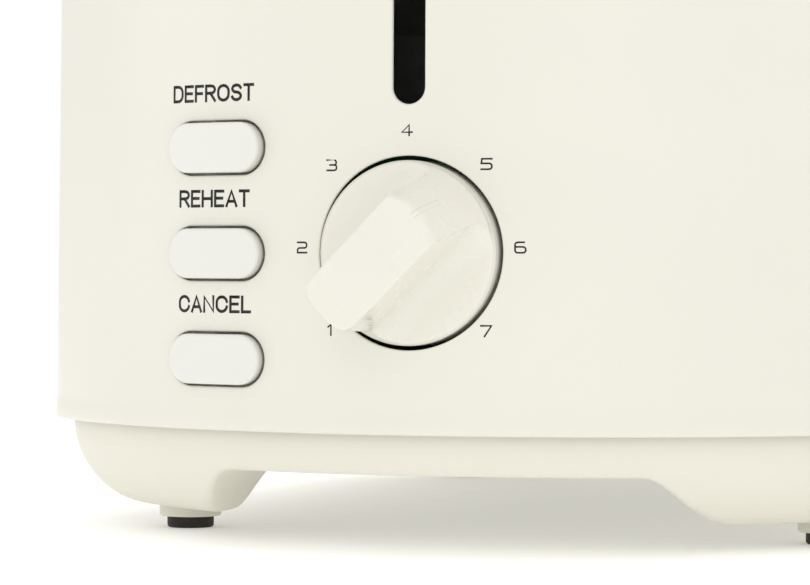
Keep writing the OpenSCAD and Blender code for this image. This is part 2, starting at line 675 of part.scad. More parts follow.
module crumb_tray() placed() color("silver") difference() {
    block([-tray_w / 2, tray_y0, tray_z], [tray_w / 2, tray_end_y, tray_z + tray_h]);
    block([-tray_w / 2 + tray_t, tray_y0 + tray_t, tray_z + tray_t],
        [tray_w / 2 - tray_t, tray_end_y - tray_t, tray_z + tray_h + 1]);
}
// What lies within r of the rear bow's axis
module in_rear_bow(r) { translate([0, bow_y, -1]) cylinder(r = r, h = body_h, $fn = 180); }
module tray_pull() placed() color("ivory") difference() {
    intersection() {
        pull_outline(0, tray_end_y, half_l);
        in_rear_bow(bow_r - 0.4);
    }
    intersection() {
        block([-tray_w / 2 + 1, tray_end_y + pull_t, pull_z + pull_t],
            [tray_w / 2 - 1, half_l, pull_z + pull_h - pull_t]);
        in_rear_bow(bow_r - 0.4 - pull_t);
    }
    translate([0, half_l - 3, pull_z - 1]) cylinder(r = 16, h = 5);
}

module cord_bush() placed() color("black") translate([0, 0, cord_z]) difference() {
    union() {
        rod_y(cord_r + bush_t, half_l + flange_t - bush_l, half_l + e);
        rod_y(cord_r + flange_w, half_l, half_l + flange_t);
    }
    rod_y(cord_r, half_l - bush_l, half_l + flange_t + 1);
}
module terminal_block() placed() color("white") translate([-wire_x, terminal_y, base_floor_z]) difference() {
    block([-5, 0, 0], [5, 24, terminal_h]);
    for (y = [5, 19]) translate([0, y, terminal_h - 6]) cylinder(r = 2.2, h = 10);
}

// A round wire through points, with round elbows
module wire(points, r) {
    for (i = [0 : len(points) - 2]) let (d = points[i + 1] - points[i], len = norm(d))
        translate(points[i]) rotate([0, acos(d[2] / len), atan2(d[1], d[0])])
            cylinder(r = r, h = len, $fn = 16);
    for (i = [1 : len(points) - 2]) translate(points[i]) sphere(r = r * 1.06, $fn = 16);
}
module mains_wire(z, x_end) wire([[-wire_x, terminal_y, z], [-wire_x, board_y + 20, z],
    [x_end, board_y + 8, z + 10], [x_end, board_y + board_t, z + 10]], lead_r);
module live_wire() placed() color("saddlebrown") mains_wire(base_floor_z + 4, board_x0 + 8);
module neutral_wire() placed() color("royalblue") mains_wire(base_floor_z + 9, board_x0 + 14);
module heater_leads() placed() color("white") {
    wire([[boards[0], lead_y, lead_z], [boards[3], lead_y, lead_z]], lead_r);
    for (x = boards) translate([x, 0, lead_z]) rod_y(lead_end_r, plate_rear_y, lead_y);
    wire([[boards[0], lead_y, lead_z], [-wire_x, lead_y, lead_z - 10],
        [-wire_x, terminal_y + 12, base_floor_z + terminal_h]], lead_r);
}

module base_screws() placed() color("silver")
    for (sx = [-1, 1], sy = [-1, 1]) translate([sx * post_x, sy * post_y, arch_z]) difference() {
        union() {
            cylinder(r = screw_head_r - 0.1, h = screw_head_h);
            cylinder(r = screw_r, h = screw_l);
        }
        for (a = [0, 90]) rotate(a) block([-2, -0.4, -1], [2, 0.4, 1]);
    }
module chassis_screws() placed() color("silver") {
    spots = [for (s = slots) each [[s * (chassis_half_w - 6), plate_front_y - 8],
        [s * (chassis_half_w - 4), plate_rear_y + 8]]];
    for (p = spots) translate([p[0], p[1], base_floor_z]) {
        cylinder(r = screw_r, h = sheet + e);
        translate([0, 0, sheet]) cylinder(r = screw_head_r, h = screw_head_h);
    }
}

casing_end(-1);  // casing_front
casing_end(1);  // casing_rear
casing_side(-1);  // casing_left
casing_side(1);  // casing_right
casing_top();
base();
rubber_foot(-1, -1);  // foot_front_left
rubber_foot(1, -1);  // foot_front_right
rubber_foot(-1, 1);  // foot_rear_left
rubber_foot(1, 1);  // foot_rear_right
browning_knob();
knob_shaft();
potentiometer();
push_button(0);  // cancel_button
push_button(1);  // reheat_button
push_button(2);  // defrost_button
control_board();
board_parts();
button_switches();
lever_grip();
lever_stem();
carriage_plate();
guide_sleeve();
keeper_plate();
bread_rack(-1);  // bread_rack_left
bread_rack(1);  // bread_rack_right
guide_rod();
lift_spring();
magnet_core();
magnet_coil();
mains_switch();
switch_contacts();
front_plate();
rear_plate();
reflector(-1);  // reflector_left
reflector(1);  // reflector_right
heater_board(0);  // heater_board_1
heater_board(1);  // heater_board_2
heater_board(2);  // heater_board_3
heater_board(3);  // heater_board_4
heating_ribbon(0);  // heating_ribbon_1
heating_ribbon(1);  // heating_ribbon_2
heating_ribbon(2);  // heating_ribbon_3
heating_ribbon(3);  // heating_ribbon_4
bread_guard(0);  // bread_guard_1
bread_guard(1);  // bread_guard_2
bread_guard(2);  // bread_guard_3
bread_guard(3);  // bread_guard_4
slot_liner(-1);  // slot_liner_left
slot_liner(1);  // slot_liner_right
crumb_tray();
tray_pull();
cord_bush();
terminal_block();
live_wire();
neutral_wire();
heater_leads();
base_screws();
chassis_screws();
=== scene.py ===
"""Looks of the pop-up toaster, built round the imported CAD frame. Shapes are in millimetres."""
import math

import bpy
import numpy as np
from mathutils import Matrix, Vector
from mathutils.geometry import delaunay_2d_cdt


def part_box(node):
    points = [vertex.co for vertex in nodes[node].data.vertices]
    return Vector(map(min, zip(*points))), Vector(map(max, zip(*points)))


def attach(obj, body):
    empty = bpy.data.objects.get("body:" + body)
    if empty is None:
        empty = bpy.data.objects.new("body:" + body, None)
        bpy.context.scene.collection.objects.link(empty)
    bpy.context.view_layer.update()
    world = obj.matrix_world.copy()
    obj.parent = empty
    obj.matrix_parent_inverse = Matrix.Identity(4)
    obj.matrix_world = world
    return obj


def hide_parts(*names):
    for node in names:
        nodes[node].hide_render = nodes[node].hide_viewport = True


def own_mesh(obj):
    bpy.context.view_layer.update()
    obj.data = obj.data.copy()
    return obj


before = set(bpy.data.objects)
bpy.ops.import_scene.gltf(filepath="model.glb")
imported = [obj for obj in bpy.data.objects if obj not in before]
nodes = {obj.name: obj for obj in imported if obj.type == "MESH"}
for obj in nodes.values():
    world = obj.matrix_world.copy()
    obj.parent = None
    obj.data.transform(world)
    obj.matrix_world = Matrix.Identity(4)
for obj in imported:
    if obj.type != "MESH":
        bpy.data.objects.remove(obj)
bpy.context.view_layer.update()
MM = 0.001


def mm_box(node):
    """Lowest and highest corner of a CAD node, in millimetres."""
    low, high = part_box(node)
    return np.array(low) / MM, np.array(high) / MM


# ---------------------------------------------------------------- sizes

CASING_NODES = ["casing_front", "casing_rear", "casing_left", "casing_right", "casing_top"]
CASING_LOW = np.min([mm_box(node)[0] for node in CASING_NODES], axis=0)
CASING_HIGH = np.max([mm_box(node)[1] for node in CASING_NODES], axis=0)
HALF_W = CASING_HIGH[0]
HALF_L = 150.0
MID_Y = CASING_LOW[1] + HALF_L          # the casing's middle in the frame
SKIRT_Z = CASING_LOW[2]                 # lower edge of the casing
TOP_Z = CASING_HIGH[2]
BOW_R = 120.0                           # bowed front and rear walls
CORNER_R = 37.0                         # upright corners
WALL = 2.5
TOP_R = 14.0                            # edge round the top
DRAFT = 2.0                             # lean of the walls
LIP_R = 0.9                             # round of the lower edge
LIP_FLARE = 0.25
BASE_INSET = 3.9
BOWL_IN = 18.0
BOWL_H = 18.4
ARCH_HALF_W = 41.8                      # the flat hollow between two feet
ARCH_HALF_L = 70.0
ARCH_RUN = 11.9
LOBE_R = 30.0                           # inner corner of a foot, seen from below

KNOB_LOW, KNOB_HIGH = mm_box("browning_knob")
KNOB_Z = (KNOB_LOW[2] + KNOB_HIGH[2]) / 2
KNOB_R = (KNOB_HIGH[0] - KNOB_LOW[0]) / 2
KNOB_GAP = 0.85
SLOT_W = 6.5                            # lever slot
SLOT_LOW_Z = 86.2
SLOT_HIGH_Z = mm_box("lever_stem")[1][2] + 4
BUTTONS = ["cancel_button", "reheat_button", "defrost_button"]
BUTTON_X = -42.7
BUTTON_W, BUTTON_H, BUTTON_GAP = 23.4, 10.8, 0.5
BUTTON_OUT = 1.8


# ---------------------------------------------------------------- camera

CAMERA_YAW = math.radians(19.57)
CAMERA_PLACE = Vector((237.5, CASING_LOW[1] - 669.0, 59.0)) * MM
CAMERA_LENS = 165.96
CAMERA_SHIFT_Y = -0.0565


def make_camera():
    data = bpy.data.cameras.new("camera")
    data.lens = CAMERA_LENS
    data.shift_y = CAMERA_SHIFT_Y
    camera = bpy.data.objects.new("camera", data)
    camera.location = CAMERA_PLACE
    camera.rotation_euler = (math.pi / 2, 0, CAMERA_YAW)
    bpy.context.scene.collection.objects.link(camera)
    bpy.context.scene.camera = camera


make_camera()


# ---------------------------------------------------------------- materials

def new_material(name):
    material = bpy.data.materials.new(name)
    material.use_nodes = True
    tree = material.node_tree
    shader = tree.nodes["Principled BSDF"]
    coords = tree.nodes.new("ShaderNodeTexCoord")
    return material, tree, shader, coords.outputs["Object"]


def noise(tree, coords, size_mm, detail=3.0, stretch=(1, 1, 1)):
    """Noise whose features are about size_mm across, stretched along the axes."""
    mapping = tree.nodes.new("ShaderNodeMapping")
    mapping.inputs["Scale"].default_value = [1 / (size_mm * MM * k) for k in stretch]
    texture = tree.nodes.new("ShaderNodeTexNoise")
    texture.inputs["Scale"].default_value = 1.0
    texture.inputs["Detail"].default_value = detail
    tree.links.new(coords, mapping.inputs["Vector"])
    tree.links.new(mapping.outputs["Vector"], texture.inputs["Vector"])
    return texture.outputs["Fac"]


def roughen(tree, shader, value, low, high):
    """Roughness from low to high, following a noise value."""
    node = tree.nodes.new("ShaderNodeMapRange")
    node.inputs["From Min"].default_value = 0.3
    node.inputs["From Max"].default_value = 0.7
    node.inputs["To Min"].default_value = low
    node.inputs["To Max"].default_value = high
    tree.links.new(value, node.inputs["Value"])
    tree.links.new(node.outputs["Result"], shader.inputs["Roughness"])


def two_tones(tree, shader, value, colour, contrast):
    """The colour, a little darker and lighter where the value is low and high."""
    ramp = tree.nodes.new("ShaderNodeValToRGB")
    ramp.color_ramp.elements[0].position = 0.3
    ramp.color_ramp.elements[1].position = 0.7
    ramp.color_ramp.elements[0].color = [*(c * (1 - contrast) for c in colour), 1]
    ramp.color_ramp.elements[1].color = [*(min(1, c * (1 + contrast)) for c in colour), 1]
    tree.links.new(value, ramp.inputs["Fac"])
    tree.links.new(ramp.outputs["Color"], shader.inputs["Base Color"])


def bump(tree, shader, value, depth_mm):
    node = tree.nodes.new("ShaderNodeBump")
    node.inputs["Strength"].default_value = 1.0
    node.inputs["Distance"].default_value = depth_mm * MM
    tree.links.new(value, node.inputs["Height"])
    tree.links.new(node.outputs["Normal"], shader.inputs["Normal"])


def plastic(name, colour, roughness, grain_mm=0.35, grain_depth=0.004, contrast=0.012, ior=1.46):
    """Moulded plastic: a fine spark-eroded grain, faint flow variation in colour and gloss."""
    material, tree, shader, coords = new_material(name)
    flow = noise(tree, coords, 45, 2)
    two_tones(tree, shader, flow, colour, contrast)
    patch = noise(tree, coords, 9, 4)
    roughen(tree, shader, patch, roughness * 0.92, roughness * 1.08)
    shader.inputs["IOR"].default_value = ior
    bump(tree, shader, noise(tree, coords, grain_mm, 2), grain_depth)
    return material


def rubber(name, colour):
    material, tree, shader, coords = new_material(name)
    two_tones(tree, shader, noise(tree, coords, 3), colour, 0.25)
    roughen(tree, shader, noise(tree, coords, 0.8), 0.55, 0.75)
    bump(tree, shader, noise(tree, coords, 0.25), 0.02)
    return material


def metal(name, colour, roughness, size_mm=0.6, stretch=(1, 1, 1), contrast=0.05, depth=0.004):
    """Bare or plated metal with rolling or drawing marks along the stretched axis."""
    material, tree, shader, coords = new_material(name)
    shader.inputs["Metallic"].default_value = 1.0
    marks = noise(tree, coords, size_mm, 4, stretch)
    two_tones(tree, shader, noise(tree, coords, 14), colour, contrast)
    roughen(tree, shader, marks, roughness * 0.8, roughness * 1.25)
    bump(tree, shader, marks, depth)
    return material


def ink(name, colour):
    """Pad-printed ink, slightly uneven."""
    material, tree, shader, coords = new_material(name)
    two_tones(tree, shader, noise(tree, coords, 0.8), colour, 0.2)
    roughen(tree, shader, noise(tree, coords, 0.3), 0.4, 0.55)
    return material


def mica_sheet(name, colour):
    """Pressed mica flakes: mottled and slightly glossy."""
    material, tree, shader, coords = new_material(name)
    flakes = tree.nodes.new("ShaderNodeTexVoronoi")
    flakes.inputs["Scale"].default_value = 260.0
    tree.links.new(coords, flakes.inputs["Vector"])
    two_tones(tree, shader, flakes.outputs["Distance"], colour, 0.22)
    roughen(tree, shader, noise(tree, coords, 2), 0.3, 0.5)
    bump(tree, shader, flakes.outputs["Distance"], 0.05)
    return material


def winding(name, colour, pitch_mm):
    """Enamelled wire wound in close turns."""
    material, tree, shader, coords = new_material(name)
    shader.inputs["Metallic"].default_value = 0.85
    turns = tree.nodes.new("ShaderNodeTexWave")
    turns.bands_direction = "Z"
    turns.inputs["Scale"].default_value = 0.314 / (pitch_mm * MM)
    turns.inputs["Distortion"].default_value = 0.4
    tree.links.new(coords, turns.inputs["Vector"])
    two_tones(tree, shader, turns.outputs["Fac"], colour, 0.3)
    roughen(tree, shader, noise(tree, coords, 1), 0.25, 0.4)
    bump(tree, shader, turns.outputs["Fac"], 0.15)
    return material


IVORY = (0.80, 0.79, 0.715)
MATERIALS = {
    "casing": plastic("ivory_casing", IVORY, 0.30),
    "base": plastic("ivory_base", (0.79, 0.775, 0.69), 0.42, 0.3, 0.008),
    "knob": plastic("ivory_knob", (0.805, 0.795, 0.72), 0.27, 0.5, 0.003),
    "button": plastic("button_white", (0.79, 0.79, 0.75), 0.30, 0.4, 0.003),
    "foot": rubber("foot_rubber", (0.012, 0.010, 0.008)),
    "bush": rubber("bush_rubber", (0.015, 0.015, 0.015)),
    "dark": plastic("dark_plastic", (0.02, 0.02, 0.022), 0.45, 0.4, 0.01, 0.2),
    "phenolic": plastic("brown_phenolic", (0.10, 0.045, 0.02), 0.4, 0.5, 0.01, 0.15),
    "nylon": plastic("white_nylon", (0.72, 0.71, 0.66), 0.4),
    "board": plastic("circuit_board", (0.02, 0.13, 0.04), 0.28, 1.2, 0.01, 0.25),
    "brown_wire": plastic("brown_insulation", (0.09, 0.035, 0.015), 0.35),
    "blue_wire": plastic("blue_insulation", (0.02, 0.07, 0.32), 0.35),
    "glass_sleeve": plastic("white_sleeve", (0.7, 0.7, 0.68), 0.7, 0.4, 0.06, 0.06),
    "zinc": metal("zinc_steel", (0.52, 0.53, 0.55), 0.34, 2.5, (1, 1, 1), 0.10, 0.003),
    "steel": metal("ground_steel", (0.60, 0.60, 0.61), 0.22, 0.4, (14, 14, 1)),
    "liner": metal("slot_steel", (0.62, 0.62, 0.63), 0.26, 0.4, (1, 22, 1)),
    "iron": metal("bare_iron", (0.22, 0.21, 0.20), 0.5, 0.8),
    "aluminium": metal("bright_aluminium", (0.80, 0.81, 0.82), 0.18, 0.5, (1, 30, 1), 0.03),
    "brass": metal("brass", (0.62, 0.42, 0.16), 0.28, 0.5),
    "copper": winding("copper_winding", (0.52, 0.17, 0.05), 0.5),
    "mica": mica_sheet("mica", (0.36, 0.27, 0.15)),
    "nichrome": metal("nichrome", (0.16, 0.15, 0.145), 0.42, 0.3, (1, 12, 1), 0.2),
    "wire": metal("guard_wire", (0.66, 0.66, 0.67), 0.16, 0.6, (1, 1, 8), 0.06),
    "print": ink("black_print", (0.012, 0.012, 0.014)),
}
CAD_LOOKS = {
    "steel": ["knob_shaft", "guide_rod", "chassis_screws", "base_screws"],
    "dark": ["potentiometer", "button_switches", "board_parts"],
    "board": ["control_board"],
    "zinc": ["lever_stem", "carriage_plate", "bread_rack_left", "bread_rack_right", "front_plate",
             "rear_plate", "crumb_tray"],
    "brass": ["guide_sleeve", "switch_contacts"],
    "iron": ["keeper_plate", "magnet_core"],
    "copper": ["magnet_coil"],
    "phenolic": ["mains_switch"],
    "aluminium": ["reflector_left", "reflector_right"],
    "mica": [f"heater_board_{i}" for i in range(1, 5)],
    "nichrome": [f"heating_ribbon_{i}" for i in range(1, 5)],
    "wire": [f"bread_guard_{i}" for i in range(1, 5)],
    "liner": ["slot_liner_left", "slot_liner_right"],
    "nylon": ["terminal_block"],
    "brown_wire": ["live_wire"],
    "blue_wire": ["neutral_wire"],
    "glass_sleeve": ["heater_leads"],
}


def dress_cad_nodes():
    for look, names in CAD_LOOKS.items():
        for name in names:
            for place in nodes[name].material_slots:
                place.material = MATERIALS[look]


dress_cad_nodes()


# ---------------------------------------------------------------- mesh building

def xyz(x, y, z):
    """Points or vectors from three coordinates, some of which may be plain numbers."""
    return np.stack(np.broadcast_arrays(x, y, z), -1).astype(float)


def lift(plan, z):
    """Plan points at a height."""
    return xyz(plan[:, 0], plan[:, 1], z)


def unit(vectors):
    return vectors / np.maximum(np.linalg.norm(vectors, axis=-1, keepdims=True), 1e-12)


def loop_normals(loop):
    """Outward normals of a closed 2D loop that runs anticlockwise."""
    tangent = np.roll(loop, -1, 0) - np.roll(loop, 1, 0)
    return unit(np.stack([tangent[:, 1], -tangent[:, 0]], 1))


class Skin:
    """Collects patches of faces, each smooth inside itself, and welds them into one mesh."""

    def __init__(self):
        self.points, self.normals, self.faces = [], [], []
        self.count = 0

    def add(self, points, faces, normals=None, flip=False):
        points = np.asarray(points, float).reshape(-1, 3)
        faces = [list(f)[::-1] for f in faces] if flip else [list(f) for f in faces]
        shape_normals = face_normals(points, faces)
        if normals is None:
            normals = shape_normals
        normals = np.asarray(normals, float).reshape(-1, 3)
        if (normals * shape_normals).sum() < 0:
            faces = [f[::-1] for f in faces]
        self.points.append(points)
        self.normals.append(normals)
        self.faces.extend([[i + self.count for i in f] for f in faces])
        self.count += len(points)

    def rows(self, rows, normals=None, closed=True, flip=False):
        """Quads between rows of points. closed joins each row's last point to its first."""
        rows = np.asarray(rows, float)
        r, n = rows.shape[:2]
        ends = n if closed else n - 1
        faces = [(k * n + i, k * n + (i + 1) % n, (k + 1) * n + (i + 1) % n, (k + 1) * n + i)
                 for k in range(r - 1) for i in range(ends)]
        self.add(rows.reshape(-1, 3), faces, normals, flip)

    def make(self, name, material, body, replaces=()):
        points = np.concatenate(self.points)
        normals = np.concatenate(self.normals)
        keys = np.round(points / 2e-4).astype(np.int64)
        _, first, index = np.unique(keys, axis=0, return_index=True, return_inverse=True)
        index = index.ravel()
        faces, corner_normals = [], []
        for face in self.faces:
            kept = [i for k, i in enumerate(face) if index[i] != index[face[k - 1]]]
            if len({index[i] for i in kept}) >= 3:
                faces.append([int(index[i]) for i in kept])
                corner_normals.extend(normals[i] for i in kept)
        mesh = bpy.data.meshes.new(name)
        placed = (points[first] + [0, MID_Y, 0]) * MM
        mesh.from_pydata(placed.tolist(), [], faces)
        mesh.polygons.foreach_set("use_smooth", [True] * len(mesh.polygons))
        mesh.normals_split_custom_set([tuple(n) for n in corner_normals])
        mesh.materials.append(material)
        piece = bpy.data.objects.new(name, mesh)
        bpy.context.scene.collection.objects.link(piece)
        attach(piece, body)
        if replaces:
            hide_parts(*replaces)
        return piece


def face_normals(points, faces):
    """Area-weighted normals at the points of a patch."""
    sums = np.zeros_like(points)
    for size in {len(f) for f in faces}:
        block = np.array([f for f in faces if len(f) == size])
        a, b, c = points[block[:, 0]], points[block[:, 1]], points[block[:, 2]]
        cross = np.cross(c - a, points[block[:, 3]] - b) if size == 4 else np.cross(b - a, c - a)
        for k in range(size):
            np.add.at(sums, block[:, k], cross)
    return unit(sums)


def inside(points, loop):
    """Which 2D points lie in a closed loop."""
    x, y = points[:, 0][:, None], points[:, 1][:, None]
    ax, ay = loop[:, 0], loop[:, 1]
    bx, by = np.roll(ax, -1), np.roll(ay, -1)
    crosses = (ay > y) != (by > y)
    with np.errstate(divide="ignore", invalid="ignore"):
        at = (bx - ax) * (y - ay) / (by - ay) + ax
    return (crosses & (x < at)).sum(1) % 2 == 1


def near(points, loop, distance):
    """Which 2D points lie within a distance of a loop's points."""
    gap = np.full(len(points), 1e9)
    for p in loop:
        gap = np.minimum(gap, np.hypot(points[:, 0] - p[0], points[:, 1] - p[1]))
    return gap < distance


def triangulate(grid, border, holes, clearance):
    """Triangles over grid points inside a border, with holes left out. Returns (points, faces)."""
    keep = np.ones(len(grid), bool)
    for hole in holes:
        keep &= ~inside(grid, hole) & ~near(grid, hole, clearance)
    points, edges = [grid[keep]], []
    count = int(keep.sum())
    for loop in [border, *holes]:
        if loop is None:
            continue
        n = len(loop)
        edges += [(count + i, count + (i + 1) % n) for i in range(n)]
        points.append(loop)
        count += n
    flat = np.concatenate(points)
    result = delaunay_2d_cdt([Vector(p) for p in flat], edges, [], 0, 1e-5)
    verts = np.array([tuple(v) for v in result[0]])
    faces = np.array([f for f in result[2]])
    middle = verts[faces].mean(1)
    good = np.ones(len(faces), bool)
    if border is not None:
        good &= inside(middle, border)
    for hole in holes:
        good &= ~inside(middle, hole)
    return verts, faces[good]


def circle_loop(x, z, r, n=96):
    a = np.linspace(0, 2 * math.pi, n, endpoint=False)
    return np.stack([x + r * np.cos(a), z + r * np.sin(a)], 1)


def box_loop(x, z, w, h, r, n=12, side=8):
    """A rounded rectangle, w by h, with its corners' arcs of n steps and its sides of side steps."""
    corners = [(w / 2 - r, h / 2 - r, 0), (r - w / 2, h / 2 - r, 90), (r - w / 2, r - h / 2, 180),
               (w / 2 - r, r - h / 2, 270)]
    arcs = []
    for cx, cz, start in corners:
        a = np.radians(start + np.linspace(0, 90, n + 1))
        arcs.append(np.stack([x + cx + r * np.cos(a), z + cz + r * np.sin(a)], 1))
    loop = []
    for k, arc in enumerate(arcs):
        loop.append(arc)
        following = arcs[(k + 1) % 4][0]
        if np.linalg.norm(following - arc[-1]) > 0.01:
            t = np.linspace(0, 1, side + 1)[1:-1, None]
            loop.append(arc[-1] + (following - arc[-1]) * t)
        elif len(loop[-1]) > 1:
            loop[-1] = loop[-1][:-1]
    return np.concatenate(loop)


def stadium_loop(x, z, w, h, n=24):
    """A flat bar's outline with round ends."""
    return box_loop(x, z, w, h, h / 2 - 1e-4, n, 12)


def grown_box(x, z, w, h, r, n, side):
    """loop(grow): the outline of a rounded rectangle, grown on all sides."""
    return lambda grow: box_loop(x, z, w + 2 * grow, h + 2 * grow, r + grow, n, side)


# ---------------------------------------------------------------- the casing's outline

CORNER_X = HALF_W - CORNER_R
BOW_A = math.asin(CORNER_X / (BOW_R - CORNER_R))
BOW_Y = HALF_L - BOW_R
CORNER_Y = BOW_Y + (BOW_R - CORNER_R) * math.cos(BOW_A)
BOW_LEN = BOW_R * BOW_A
CORNER_LEN = CORNER_R * (math.pi / 2 - BOW_A)
QUARTER = BOW_LEN + CORNER_LEN + CORNER_Y


def outline(s):
    """Point and outward normal at arc length s, counted from the middle of the front to the right."""
    s = (np.asarray(s, float) + 2 * QUARTER) % (4 * QUARTER) - 2 * QUARTER
    side = np.where(s < 0, -1.0, 1.0)
    t = np.abs(s)
    rear = np.where(t > QUARTER, -1.0, 1.0)
    t = np.where(t > QUARTER, 2 * QUARTER - t, t)
    bow, corner = t < BOW_LEN, t < BOW_LEN + CORNER_LEN
    a = np.where(bow, t / BOW_R, np.minimum(BOW_A + (t - BOW_LEN) / CORNER_R, math.pi / 2))
    x = np.where(bow, BOW_R * np.sin(a), CORNER_X + CORNER_R * np.sin(a))
    y = np.where(bow, -BOW_Y - BOW_R * np.cos(a), -CORNER_Y - CORNER_R * np.cos(a))
    y = np.where(corner, y, -CORNER_Y + (t - BOW_LEN - CORNER_LEN))
    return x * side, y * rear, np.sin(a) * side, -np.cos(a) * rear


LEAN_LOW_Z = SKIRT_Z + 5.0
LEAN_HIGH_Z = TOP_Z - TOP_R


def lean(z):
    """Inset of the wall at height z: the lean, and the flare just above the lower edge."""
    k = np.clip((z - SKIRT_Z - 1.5) / 3.5, 0, 1)
    flare = LIP_FLARE * k * k * (3 - 2 * k)
    return flare + (DRAFT - LIP_FLARE) * np.clip((z - LEAN_LOW_Z) / (LEAN_HIGH_Z - LEAN_LOW_Z), 0, 1)


LIP_TOP_V = SKIRT_Z + LIP_R
V_LOW = LIP_TOP_V - LIP_R * math.pi / 2
V_HIGH = LEAN_HIGH_Z + TOP_R * math.pi / 2


def wall_profile(v, depth):
    """Inset, height and normal (outward, up) at length v up the wall, at a depth below its surface."""
    v = np.asarray(v, float)
    low, high = v < LIP_TOP_V, v > LEAN_HIGH_Z
    turn = np.where(high, (v - LEAN_HIGH_Z) / TOP_R, 0)
    turn = np.where(low, (v - LIP_TOP_V) / LIP_R, turn)
    slope = (lean(v + 0.05) - lean(v - 0.05)) / 0.1
    out = np.where(low | high, np.cos(turn), 1 / np.hypot(1, slope))
    up = np.where(low | high, np.sin(turn), slope / np.hypot(1, slope))
    inset = np.where(high, DRAFT + TOP_R * (1 - np.cos(turn)), lean(v))
    inset = np.where(low, lean(LIP_TOP_V) + LIP_R * (1 - np.cos(turn)), inset)
    z = np.where(high, LEAN_HIGH_Z + TOP_R * np.sin(turn), v)
    z = np.where(low, LIP_TOP_V + LIP_R * np.sin(turn), z)
    return inset + depth * out, z - depth * up, out, up


def on_wall(s, v, depth=0.0):
    """Points and normals on the casing's wall."""
    x, y, nx, ny = outline(s)
    inset, z, out, up = wall_profile(v, depth)
    points = xyz(x - inset * nx, y - inset * ny, z)
    return points, xyz(nx * out, ny * out, up)


def bow_s(x, z, depth, front=True):
    """Arc length at which the wall's front or rear bow has the given x."""
    s = BOW_R * np.arcsin(x / (BOW_R - lean(z) - depth))
    return s if front else 2 * QUARTER - s


def bow_y(x, z, depth=0.0):
    """How far in front of the middle the front bow lies at x."""
    return -BOW_Y - np.sqrt((BOW_R - lean(z) - depth) ** 2 - np.asarray(x) ** 2)


EDGE_STEPS = 5
LIP_DEPTH, RELIEF = 0.7, 0.8            # a hole is wider behind its lip


def wall_hole(skin, loop, edge, front=True):
    """The rounded edge, lip and relief of a hole cut along Y. loop(grow) gives (x, z) points.
    Returns the hole's outline in (s, v), on the outer and on the inner surface."""
    facing = 1.0 if front else -1.0
    rim = loop(edge)
    aside = loop_normals(rim)
    bend = rim[:, 0] / BOW_R
    face = xyz(bend, -facing * np.sqrt(1 - bend ** 2), 0)
    inward = xyz(-aside[:, 0], 0, -aside[:, 1])

    def row(grow, depth, sink=0.0):
        ring = loop(grow)
        return xyz(ring[:, 0], facing * (bow_y(ring[:, 0], ring[:, 1], depth) + sink), ring[:, 1])

    turns = np.linspace(0, math.pi / 2, EDGE_STEPS + 1)
    rows = [row(edge * (1 - math.sin(t)), 0, edge * (1 - math.cos(t))) for t in turns] + [row(0, LIP_DEPTH)]
    normals = [face * math.cos(t) + inward * math.sin(t) for t in turns] + [inward]
    skin.rows(rows, np.concatenate(normals))
    skin.rows([row(0, LIP_DEPTH), row(RELIEF, LIP_DEPTH)], np.concatenate([-face, -face]))
    skin.rows([row(RELIEF, LIP_DEPTH), row(RELIEF, WALL)], np.concatenate([inward, inward]))
    outer, inner = loop(edge), loop(RELIEF)
    return (np.stack([bow_s(outer[:, 0], outer[:, 1], 0, front), outer[:, 1]], 1),
            np.stack([bow_s(inner[:, 0], inner[:, 1], WALL, front), inner[:, 1]], 1))


def steps(*parts):
    """Numbers along several stretches, each (start, end, step)."""
    values = [np.linspace(a, b, max(1, round((b - a) / step)) + 1)[:-1] for a, b, step in parts]
    return np.concatenate([*values, [parts[-1][1]]])


BEND = BOW_LEN + CORNER_LEN
REAR = 2 * QUARTER                      # the middle of the rear
S_STATIONS = steps((-QUARTER, -BEND, 8), (-BEND, -BOW_LEN, 1.6), (-BOW_LEN, BOW_LEN, 2.2),
                   (BOW_LEN, BEND, 1.6), (BEND, REAR - BEND, 8), (REAR - BEND, REAR - BOW_LEN, 1.6),
                   (REAR - BOW_LEN, REAR + BOW_LEN, 2.4), (REAR + BOW_LEN, REAR + BEND, 1.6),
                   (REAR + BEND, 3 * QUARTER, 8))


def wall_sheet(skin, holes, levels, depth):
    """The casing's wall as one sheet over (s, v), with its holes."""
    s, v = np.meshgrid(S_STATIONS, levels)
    grid = np.stack([s.ravel(), v.ravel()], 1)
    border = np.concatenate([
        np.stack([S_STATIONS, np.full_like(S_STATIONS, levels[0])], 1)[:-1],
        np.stack([np.full_like(levels, S_STATIONS[-1]), levels], 1)[:-1],
        np.stack([S_STATIONS[::-1], np.full_like(S_STATIONS, levels[-1])], 1)[:-1],
        np.stack([np.full_like(levels, S_STATIONS[0]), levels[::-1]], 1)[:-1]])
    inner = (grid[:, 0] > S_STATIONS[0]) & (grid[:, 0] < S_STATIONS[-1])
    inner &= (grid[:, 1] > levels[0]) & (grid[:, 1] < levels[-1])
    flat, faces = triangulate(grid[inner], border, holes, 0.9)
    points, normals = on_wall(flat[:, 0], flat[:, 1], depth)
    skin.add(points, faces, normals if depth == 0 else -normals, flip=depth > 0)


# ---------------------------------------------------------------- the casing

